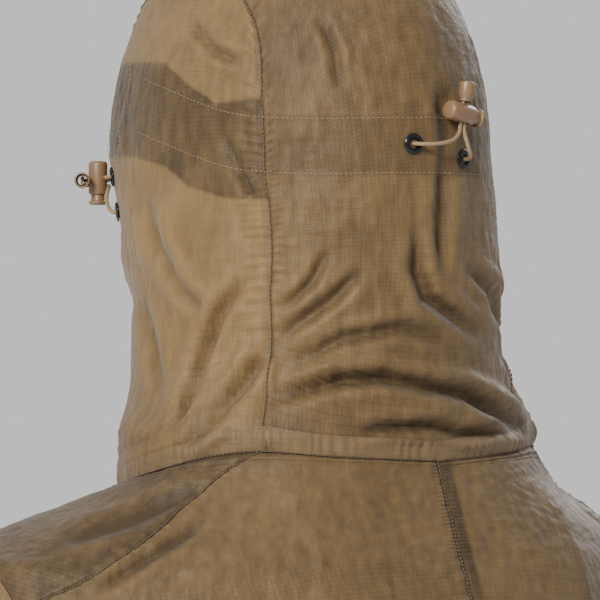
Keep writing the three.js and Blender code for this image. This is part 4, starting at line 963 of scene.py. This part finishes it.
# ---- The jacket's parts -----------------------------------------------------------------
def seam_dip(u: Array, v: Array, cut: tuple[float, float], run: Array) -> Array:
    """The groove, the low roll and the puckers where a panel's edges are sewn.

    Args:
        u, v: Places on the panel, 0 or 1 at its sewn edges.
        cut: Its flat width and length, in metres.
        run: The places along the seam, in millimetres.

    Returns:
        How far the cloth stands out there, in millimetres.
    """
    off = np.minimum(np.minimum(u, 1 - u) * cut[0], np.minimum(v, 1 - v) * cut[1]) / MM
    pucker = np.sin(run * 2 * math.pi / 7.5 + 2 * np.sin(run / 23)) * np.exp(-(((off - 5) / 4.5) ** 2))
    return 0.4 * np.exp(-(((off - 3.6) / 1.8) ** 2)) - np.exp(-((off / 1.8) ** 2)) + 0.4 * pucker


@dataclass
class Hood:
    """The hood's panels, its two-ply band and facing, and the rows of stitches on it."""

    finishes: Finishes
    centre_cut: tuple[float, float] = (0.235, 0.475)
    side_cut: tuple[float, float] = (0.2, 0.29)
    neck_cut: tuple[float, float] = (0.56, 0.0105)
    band_cut: tuple[float, float] = (0.42, 0.03)
    facing_cut: tuple[float, float] = (0.52, 0.04)

    def layers(self, centre: bool) -> Callable[[Array], Array]:
        """Painted light through the hood's cloth: light on one ply, painted shade on the two-ply band."""
        def read(p: Array) -> Array:
            # Darker towards the neck seam, and on the centre panel towards the crown.
            low = smooth((22 - p[:, 2]) / 25) * 0.14
            if centre:
                high = smooth((p[:, 2] - 150) / 14) * 0.12
                return np.clip(0.5 + 0.16 * band_share(p) + high + low, 0, 1)
            across = (p * np.where(p[:, :1] < 0, FLIP, 1)) @ VIEW_ACROSS
            # The side panel gets painted shade between these heights and painted light through one ply above
            # and below them.
            upper = np.interp(across, (-109, -86, -76, -61, -38), (186, 184, 174, 163, 165))
            lower = np.interp(across, (-103, -86, -74, -56, -36), (136, 130, 120, 114, 113))
            side_painted_shade = smooth((upper - p[:, 2]) / 1.8) * smooth((p[:, 2] - lower) / 2.4)
            return np.clip(0.2 + 0.58 * side_painted_shade + low, 0, 1)
        return read

    def panels(self) -> None:
        """The centre panel and both sides."""
        cloth = self.finishes.ripstop

        def centre(p: Array, n: Array, u: Array, v: Array) -> Array:
            run = v * self.centre_cut[1] / MM
            return crease(p, n) + seam_dip(u, np.full_like(v, 0.5), self.centre_cut, run)

        def side(p: Array, n: Array, u: Array, v: Array) -> Array:
            return crease(p, n) + seam_dip(u * 0.5, 1 - v * 0.5, self.side_cut, v * self.side_cut[1] / MM)

        Panel("hood_centre_cloth", lambda u, v: hood_centre_at(2 * u - 1, v), self.centre_cut, (170, 260),
              hood_form, self.layers(True), centre).build(cloth, "ripstop", ["hood_centre_panel"])
        for half in Side:
            Panel(f"hood_side_cloth_{half.word}", hood_side_surface(), self.side_cut, (130, 170), hood_form,
                  self.layers(False), side).build(cloth, "ripstop", [f"hood_side_{half.word}"], half)

    def strips(self) -> None:
        """The gathered neck band, the band inside the hood and the facing round the face."""
        def neck(u: Array, v: Array) -> Array:
            foot = neck_seam(-166 + 332 * u)
            foot[:, 2] += 0.4 + 9.6 * v
            return on_hood(foot)

        def gathers(p: Array, n: Array, u: Array, v: Array) -> Array:
            sway = 1.4 * np.sin(u * 61) + 1.1 * np.sin(u * 173 + 2)
            pucker = np.sin(u * 2 * math.pi * 112 + sway) * (0.5 + 0.5 * np.sin(u * 97 + 1))
            bulge = np.sin(math.pi * np.clip(v, 0, 1))
            return crease(p, n) + 0.1 + 0.35 * bulge + 0.42 * pucker * (0.3 + 0.7 * bulge)

        Panel("neck_band_cloth", neck, self.neck_cut, (900, 10), hood_form, lambda p: np.full(len(p), 0.45),
              gathers).build(self.finishes.band, "elastic_band", ["neck_seam_band"], held="gathered")

        def band(u: Array, v: Array) -> Array:
            turn = -102 + 204 * u
            return hood_spot(turn, along(BAND_MIDDLE, np.abs(turn)) + (2 * v - 1) * BAND_HALF_WIDTH)

        Panel("hood_band_cloth", band, self.band_cut, (180, 14), hood_form, lambda p: np.full(len(p), 0.6),
              lambda p, n, u, v: np.full(len(p), -6.6), 0.0).build(
                  self.finishes.ripstop, "ripstop", ["hood_inner_band"])
        Panel("face_facing_cloth", self.face_spot, self.facing_cut, (220, 16), hood_form,
              lambda p: np.full(len(p), 0.6), lambda p, n, u, v: -0.3 - 6.3 * smooth(v / 0.18), 0.0).build(
                  self.finishes.ripstop, "ripstop", ["face_hem_facing"])

    @staticmethod
    def face_spot(share: Array, inward: Array) -> Array:
        """Beside the face opening: share 0 at the left cheek to 1 at the right, inward 0 to 1."""
        brim = [hood_centre_at(np.array([a]), np.ones(1))[0] for a in (1, 0.5, 0, -0.5, -1)]
        line = [(45, -111, 66), *CHEEK, *brim, *(CHEEK * FLIP)[::-1], (-45, -111, 66)]
        edge = spline(line, share, even=True)
        way = edge - HOOD_HEART
        way /= np.linalg.norm(way, axis=1, keepdims=True)
        brow = smooth(1 - np.abs(share - 0.5) / 0.16)
        back = np.stack([np.where(share <= 0.5, 1, -1) * (1 - brow), 0 * brow + 0.15, 0.1 + brow], -1)
        back /= np.linalg.norm(back, axis=1, keepdims=True)
        lean = (inward * 0.34)[:, None]
        return on_hood(HOOD_HEART + (way * (1 - lean) + back * lean) * 50)

    def stitching(self) -> None:
        """The seams' dark rows and the tan rows that hold the band and the facing."""
        tan, dark = self.finishes.thread, self.finishes.dark_thread
        t = np.linspace(0, 1, 400)
        for half in Side:
            sewn(f"hood_seam_stitches_{half.word}", hood_centre_at(np.ones(400), t), hood_form, dark, -0.25,
                 half, pitch=2.3, length=2.0, width=0.8)
            chin_row = front_edge(NECK_FRONT_HEIGHT + (ZIP_TOP[2] - NECK_FRONT_HEIGHT) * t)
            chin_row = chin_row + np.array([14.0, 0, 0])
            sewn(f"chin_stitches_{half.word}", on_hood(chin_row), hood_form, tan, 0.1, half)
        for name, up in (("upper", 13.4), ("lower", -13.4)):
            turn = -101 + 202 * t
            row = hood_spot(turn, along(BAND_MIDDLE, np.abs(turn)) + up)
            sewn(f"band_stitches_{name}", row, hood_form, tan, 0.12)
        for name, inward in (("outer", 0.1), ("inner", 0.92)):
            sewn(f"facing_stitches_{name}", self.face_spot(t, np.full(400, inward)), hood_form, tan, 0.1)
        foot = neck_seam(-FRONT_TURN + 2 * FRONT_TURN * np.linspace(0, 1, 900))
        sewn("neck_seam_stitches", foot, hood_form, dark, 0.5, pitch=2.1, length=1.8, width=0.5)

    def build(self) -> None:
        """Makes every piece of the hood."""
        self.panels()
        self.strips()
        self.stitching()


@dataclass
class Body:
    """The jacket's back and front panels, hem, sleeves and cuffs."""

    finishes: Finishes
    back_cut: tuple[float, float] = (0.235, 0.66)
    front_cut: tuple[float, float] = (0.25, 0.64)
    sleeve_cut: tuple[float, float] = (0.4, 0.57)
    cuff_cut: tuple[float, float] = (0.27, 0.05)
    hem_cut: tuple[float, float] = (1.12, 0.029)

    def relief(self, cut: tuple[float, float]) -> Callable[[Array, Array, Array, Array], Array]:
        """How a body panel stands off its form."""
        return lambda p, n, u, v: crease(p, n) + seam_dip(u, v * 0.5, cut, v * cut[1] / MM)

    def panels(self) -> None:
        """Back and front panels of both sides."""
        for half in Side:
            def back_layers(p: Array, side: Side = half) -> Array:
                # A strip 8.5 mm wide along the right back panel's centre-back edge gets painted shade.
                folded = 0.36 * smooth((8.5 - np.abs(p[:, 0])) / 1.2) if side is Side.RIGHT else 0
                return 0.56 + folded + 0 * p[:, 0]

            Panel(f"back_cloth_{half.word}", back_surface(), self.back_cut, (120, 330), torso_form,
                  back_layers, self.relief(self.back_cut)).build(
                      self.finishes.ripstop, "ripstop", [f"back_panel_{half.word}"], half)
            Panel(f"front_cloth_{half.word}", front_surface(), self.front_cut, (110, 280), torso_form,
                  lambda p: np.full(len(p), 0.82), self.relief(self.front_cut)).build(
                      self.finishes.ripstop, "ripstop", [f"front_panel_{half.word}"], half)

    def sleeves(self) -> None:
        """Sleeves with creases at the elbow, and elastic cuffs."""
        def slack(p: Array, n: Array, u: Array, v: Array) -> Array:
            elbow = np.exp(-(((v - 0.52) / 0.13) ** 2))
            waver = 1.8 * np.sin(2 * math.pi * u + 1) + 0.8 * np.sin(v * 17)
            rings = 1 - 1.5 * np.abs(np.sin(v * 44 + waver))
            near_cuff = np.exp(-(((v - 0.97) / 0.05) ** 2)) * np.sin(2 * math.pi * u * 26 + np.sin(v * 40))
            head = 1.5 * smooth((0.12 - v) / 0.12)
            return BROAD.lift(p) + FINE.lift(p) + 2.2 * elbow * rings + near_cuff + head

        def cuff_gathers(p: Array, n: Array, u: Array, v: Array) -> Array:
            bulge = 0.8 * np.sin(math.pi * v) ** 0.5
            return bulge + 0.7 * np.sin(2 * math.pi * 46 * u + np.sin(9 * v))

        def cuff(u: Array, v: Array) -> Array:
            end = sleeve_surface(u, np.ones_like(u))
            centre = ARM_START + ARM_DIRECTION * SLEEVE_LENGTH
            radial = (end - centre) / SLEEVE_END_RADIUS
            radius = (CUFF_RADIUS + 1.2 - 1.2 * v)[:, None]
            return centre + ARM_DIRECTION * (CUFF_LENGTH * v - 8 * (1 - v))[:, None] + radial * radius

        for half in Side:
            Panel(f"sleeve_cloth_{half.word}", sleeve_surface, self.sleeve_cut, (170, 270), None,
                  lambda p: np.full(len(p), 0.5), slack).build(
                      self.finishes.ripstop, "ripstop", [f"sleeve_{half.word}"], half)
            Panel(f"cuff_cloth_{half.word}", cuff, self.cuff_cut, (420, 24), None,
                  lambda p: np.full(len(p), 0.5), cuff_gathers).build(
                      self.finishes.band, "elastic_band", [f"cuff_{half.word}"], half, held="gathered")

    def hem(self) -> None:
        """The gathered band round the hem."""
        def ring(u: Array, v: Array) -> Array:
            a = (2 * u - 1) * (math.pi - FRONT_EDGE_X / 195)
            z = HEM_HEIGHT + 5 - (HEM_BAND_WIDTH + 5) * v
            heart = np.stack([0 * z, 0 * z - 5, z], -1)
            return cast(torso_form, heart, heart + np.stack([1.5 * np.sin(a), np.cos(a), 0 * a], -1))

        def gathers(p: Array, n: Array, u: Array, v: Array) -> Array:
            bulge = 1.6 + 0.5 * np.sin(math.pi * v) ** 0.5
            return bulge + 0.5 * np.sin(2 * math.pi * 150 * u + np.sin(60 * u))

        Panel("hem_cloth", ring, self.hem_cut, (1200, 14), torso_form, lambda p: np.full(len(p), 0.5),
              gathers).build(
                  self.finishes.band, "elastic_band", ["hem_band"], held="gathered")

    def stitching(self) -> None:
        """Rows along the shoulder, centre-back, side and front seams."""
        tan, dark = self.finishes.thread, self.finishes.dark_thread
        t = np.linspace(0, 1, 700)
        heavy = {"pitch": 1.9, "length": 1.7, "width": 0.75}
        back = back_surface()
        sewn("centre_back_stitches", back.inner(t), torso_form, dark, 0.0, **heavy)
        for half in Side:
            word = half.word
            sewn(f"shoulder_stitches_{word}", spline(SHOULDER_POINTS, t), torso_form, dark, 0.0, half,
                 **heavy)
            sewn(f"side_stitches_{word}", side_seam(t), torso_form, dark, 0.3, half, pitch=2.6)
            hem_row = on_torso(back.foot(t) + np.array([0, 0, 3.0]))
            sewn(f"hem_stitches_{word}", hem_row, torso_form, tan, 0.3, half)
            edge = front_edge(HEM_HEIGHT + 4 + (NECK_FRONT_HEIGHT - HEM_HEIGHT - 4) * t)
            edge = edge + np.array([13.0, 0, 0])
            sewn(f"front_stitches_{word}", on_torso(edge), torso_form, tan, 0.2, half)

    def build(self) -> None:
        """Makes every piece of the body."""
        self.panels()
        self.sleeves()
        self.hem()
        self.stitching()


BACK_LEFT = (
    (13.7, 74.2, 141.5), (14.2, 76.5, 141.5), (14.6, 78.5, 141.5), (12.4, 81.2, 141.3),
    (8.5, 83.8, 141.3), (2, 85.4, 142), (-4.5, 85, 143.8), (-9.3, 83.2, 147.5),
    (-10.8, 82.2, 151.4), (-11.8, 82.1, 156.7), (-12.8, 82, 162), (-13.8, 81.9, 167.3),
)
BACK_RIGHT = (
    (-17.4, 73.4, 134.4), (-17.9, 75.6, 134.5), (-18.4, 77.6, 134.5), (-18.2, 80, 134.8),
    (-16.9, 82.6, 136), (-14.8, 83.9, 139.2), (-13.2, 83.9, 143.5), (-12.7, 82.8, 147.5),
    (-13.2, 82, 151), (-14.2, 81.9, 156.3), (-15.2, 81.8, 161.6), (-16.2, 81.7, 166.9),
)
FACE_UPPER = (
    (67.4, -94.7, 128.2), (69.4, -95.9, 128), (71.6, -97.2, 127.8), (71.7, -99.6, 127.6),
    (69.7, -101.9, 127.5), (66.9, -104, 127.2), (64.8, -105.9, 126.7), (65.1, -107.7, 126.2),
    (68.6, -110.4, 126.2), (72.9, -113.7, 126.2), (75.4, -113.9, 126.6), (77.7, -111, 127.4),
    (79.2, -109.1, 127.4),
)
FACE_LOWER = (
    (68.5, -88.6, 110.2), (70.5, -89.8, 110), (72.7, -91.1, 109.9), (73, -93, 110.8),
    (72.3, -96.4, 112.9), (70.9, -99.6, 116.4), (68.8, -102.2, 119.8), (66.6, -104.3, 122),
    (64.8, -106.2, 123.4), (65.3, -107.8, 123.8), (68.6, -110.4, 123.8), (72.9, -113.7, 123.9),
    (75.2, -114, 124.5), (76.6, -112.6, 125), (77.7, -111, 125), (79.2, -109.1, 125),
)


@dataclass
class CordLock:
    """A barrel that grips two strands, its plunger, and the bell on the strands' ends.

    Args:
        name: The lock's CAD name.
        slot: Where the strands cross its barrel.
        barrel_way: From its closed end to its plunger.
        cord_way: The way the strands go through it.
        bell, bell_way: The bell's small end and direction.
    """

    name: str
    slot: Array
    barrel_way: Array
    cord_way: Array
    bell: Array
    bell_way: Array
    radius: float = 4.8
    length: float = 17.0

    def build(self, finishes: Finishes) -> bpy.types.Object:
        """Makes the lock and returns its bell."""
        r, slot_at, bore = self.radius, 11.3, 3.9
        way = self.barrel_way / np.linalg.norm(self.barrel_way)
        at = placed(self.slot - way * slot_at, way, self.cord_way)
        end = self.length
        barrel = turned(((0, 0), (r - 1.6, 0.1), (r - 0.7, 0.45), (r - 0.2, 1.1), (r, 2.2), (r, end - 1.2),
                         (r - 0.35, end), (bore, end), (bore, 1.6), (0, 1.6)), f"{self.name}_barrel_shape")
        top = end + 3.3
        plunger = turned(((0, 7.3), (3.0, 7.3), (3.0, 5.1), (3.5, 5.1), (3.5, top), (r - 0.5, top),
                          (r, top + 0.6), (r - 0.2, top + 1.5), (r - 1.3, top + 2.2), (0, top + 2.3)),
                         f"{self.name}_plunger_shape")
        for mesh, part, body, long in ((barrel, "barrel", "jacket", 6.0),
                                       (plunger, "plunger", f"{self.name}_plunger", 9.6)):
            made = cut_through(mesh, 3.2, long, slot_at + (1.5 if part == "plunger" else 0))
            made.transform(at)
            finished(made, f"{self.name}_{part}_shell", finishes.trim, body,
                     [f"{self.name}_{part}"])
        bell = turned(((2.45, 0), (3.1, 0), (2.95, 1.5), (3.9, 3.4), (4.0, 9.2), (3.6, 9.6), (3.1, 9.6),
                       (3.1, 3.9), (2.45, 2.6)), f"{self.name}_bell_shape", 0.15)
        bell.transform(placed(self.bell, self.bell_way, self.barrel_way))
        return finished(bell, f"{self.name}_bell", finishes.trim, "jacket",
                        [f"{self.name}_cord_end"])


@dataclass
class Drawcords:
    """The eyelets, the free strands through them and the locks on the strands."""

    finishes: Finishes
    thickness: float = 0.002

    def strand(self, name: str, points: Sequence[tuple[float, float, float]], side: Side) -> None:
        """One free strand from an eyelet through a lock to its bell."""
        line = sided(spline(points, np.linspace(0, 1, 90)), side) * MM
        curve = bpy.data.curves.new(name, "CURVE")
        curve.dimensions, curve.use_fill_caps = "3D", True
        curve.bevel_depth, curve.bevel_resolution = self.thickness / 2, 4
        run = curve.splines.new("POLY")
        run.points.add(len(line) - 1)
        for point, place in zip(run.points, line):
            point.co = (*place, 1)
        run.use_smooth = True
        curve.materials.append(self.finishes.cord)
        piece = bpy.data.objects.new(name, curve)
        bpy.context.scene.collection.objects.link(piece)
        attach(piece, "jacket")
        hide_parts(name.replace("_cord", ""))
        length = float(np.linalg.norm(np.diff(line, axis=0), axis=1).sum())
        log.info("%s %.1f mm", name, length / MM)

    def eyelets(self) -> None:
        """Rolled metal eyelets in the cloth."""
        for name, spot in EYELET_POINTS.items():
            out = normal_of(hood_form, spot[None])[0]
            ring = turned(((2.4, -2.4), (4.4, -2.4), (4.4, -2.1), (3.0, -2.0), (3.0, 0.4), (5.1, 0.4),
                           (5.1, 0.75), (4.6, 1.25), (3.8, 1.5), (3.1, 1.35), (2.6, 0.9), (2.4, 0.3)),
                          f"{name}_shape", 0.12)
            ring.transform(placed(spot, out, np.array([0.0, 0.0, 1.0])))
            finished(ring, f"{name}_ring", self.finishes.enamel, "jacket", [name])

    def build(self) -> None:
        """Makes every cord and the trim on it."""
        self.eyelets()
        locks = {"back_lock": CordLock(
            "back_lock", np.array([-13, 82, 156.5]), np.array([-0.975, -0.12, -0.185]), np.array([0, 0, 1.0]),
            np.array([-14.1, 81.9, 162.4]), np.array([-0.183, -0.023, 0.983]))}
        for half in Side:
            m = np.array([half.value, 1.0, 1.0])
            locks[f"face_lock_{half.word}"] = CordLock(
                f"face_lock_{half.word}", np.array([68.6, -110.4, 125]) * m, np.array([0, 0, -1.0]),
                np.array([0.793, -0.61, 0]) * m, np.array([76.6, -112.5, 126.2]) * m,
                np.array([0.61, 0.793, 0]) * m)
        bells = {name: lock.build(self.finishes) for name, lock in locks.items()}
        self.strand("back_strand_left_cord", BACK_LEFT, Side.LEFT)
        self.strand("back_strand_right_cord", BACK_RIGHT, Side.LEFT)
        for half in Side:
            self.strand(f"face_strand_upper_{half.word}_cord", FACE_UPPER, half)
            self.strand(f"face_strand_lower_{half.word}_cord", FACE_LOWER, half)


@dataclass
class FrontZip:
    """The zip's woven tapes."""

    finishes: Finishes
    tape_cut: tuple[float, float] = (0.011, 0.706)

    def build(self) -> None:
        """Makes both halves."""
        for half in Side:
            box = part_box(f"zip_tape_{half.word}")
            low, high = np.array(box[0]) / MM, np.array(box[1]) / MM
            inside, outside = (low[0], high[0]) if half is Side.LEFT else (-high[0], -low[0])

            def tape(u: Array, v: Array) -> Array:
                z = high[2] + (low[2] - high[2]) * v
                return np.stack([inside + (outside - inside) * u, front_line(z) + 4.4, z], -1)

            Panel(f"zip_tape_cloth_{half.word}", tape, self.tape_cut, (8, 240), None,
                  lambda p: np.full(len(p), 0.5), lambda p, n, u, v: 0 * u).build(
                      self.finishes.tape, "zip_tape", [f"zip_tape_{half.word}"], half, held="stretched")


@dataclass
class Studio:
    """Camera, lights, floor and surroundings."""

    aim: tuple[float, float, float] = (0.015, -0.012, 0.0655)
    azimuth: float = 142.0
    distance: float = 2.5
    lens: float = 300.0

    def light(self, name: str, place: tuple[float, float, float], size: float, power: float) -> None:
        """A soft square light aimed at the jacket."""
        lamp = bpy.data.lights.new(name, "AREA")
        lamp.size, lamp.energy = size, power
        item = bpy.data.objects.new(name, lamp)
        item.location = place
        item.rotation_euler = (Vector(self.aim) - Vector(place)).to_track_quat("-Z", "Y").to_euler()
        bpy.context.scene.collection.objects.link(item)

    def build(self) -> None:
        """Sets the stage."""
        a = math.radians(self.azimuth)
        way, across = Vector((math.sin(a), -math.cos(a), 0)), Vector((math.cos(a), math.sin(a), 0))
        camera = bpy.data.cameras.new("camera")
        camera.lens, camera.sensor_width, camera.clip_end = self.lens, 36, 100
        item = bpy.data.objects.new("camera", camera)
        item.location = Vector(self.aim) + way * self.distance
        item.rotation_euler = (-way).to_track_quat("-Z", "Y").to_euler()
        bpy.context.scene.collection.objects.link(item)
        bpy.context.scene.camera = item
        up = Vector((0, 0, 1))
        self.light("key", tuple(way * 2.0 - across * 0.9 + up * 1.15), 0.6, 100)
        self.light("front", tuple(-way * 2.0 + across * 0.8 + up * 1.2), 1.2, 40)
        bm = bmesh.new()
        bmesh.ops.create_grid(bm, x_segments=1, y_segments=1, size=15)
        bmesh.ops.translate(bm, verts=bm.verts, vec=(0, 0, -0.9))
        mesh = bpy.data.meshes.new("floor")
        bm.to_mesh(mesh)
        bm.free()
        mesh.materials.append(SolidFinish("pale_floor", (0.86, 0.86, 0.86), (0.84, 0.84, 0.84), 0.8, grain=4,
                                          relief=0.0001).make())
        floor = bpy.data.objects.new("floor", mesh)
        bpy.context.scene.collection.objects.link(floor)
        world = bpy.data.worlds.new("surroundings")
        world.use_nodes = True
        background = world.node_tree.nodes["Background"]
        socket(background, "Color", (1, 1, 1, 1))
        socket(background, "Strength", 0.75)
        bpy.context.scene.world = world


def paint_frame(finishes: Finishes) -> None:
    """Gives the CAD pieces that stay in view their finishes."""
    looks = {"zip_coil": finishes.nylon, "zip_stop": finishes.nylon, "zip_bottom": finishes.nylon,
             "zip_slider": finishes.zip_metal, "zip_pull": finishes.zip_metal, "drawcord_run": finishes.cord,
             "spring": finishes.steel}
    for name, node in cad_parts.items():
        for word, material in looks.items():
            if word in name:
                for place in node.material_slots:
                    place.link = "OBJECT"
                    place.material = material


def main() -> None:
    """Builds the jacket part by part."""
    logging.basicConfig(level=logging.INFO, format="%(message)s")
    finishes = Finishes()
    Studio().build()
    for part in (Drawcords(finishes), Hood(finishes), Body(finishes), FrontZip(finishes)):
        part.build()
        log.info("%s done", type(part).__name__)
    paint_frame(finishes)
    bpy.context.view_layer.update()


if __name__ == "__main__":
    main()
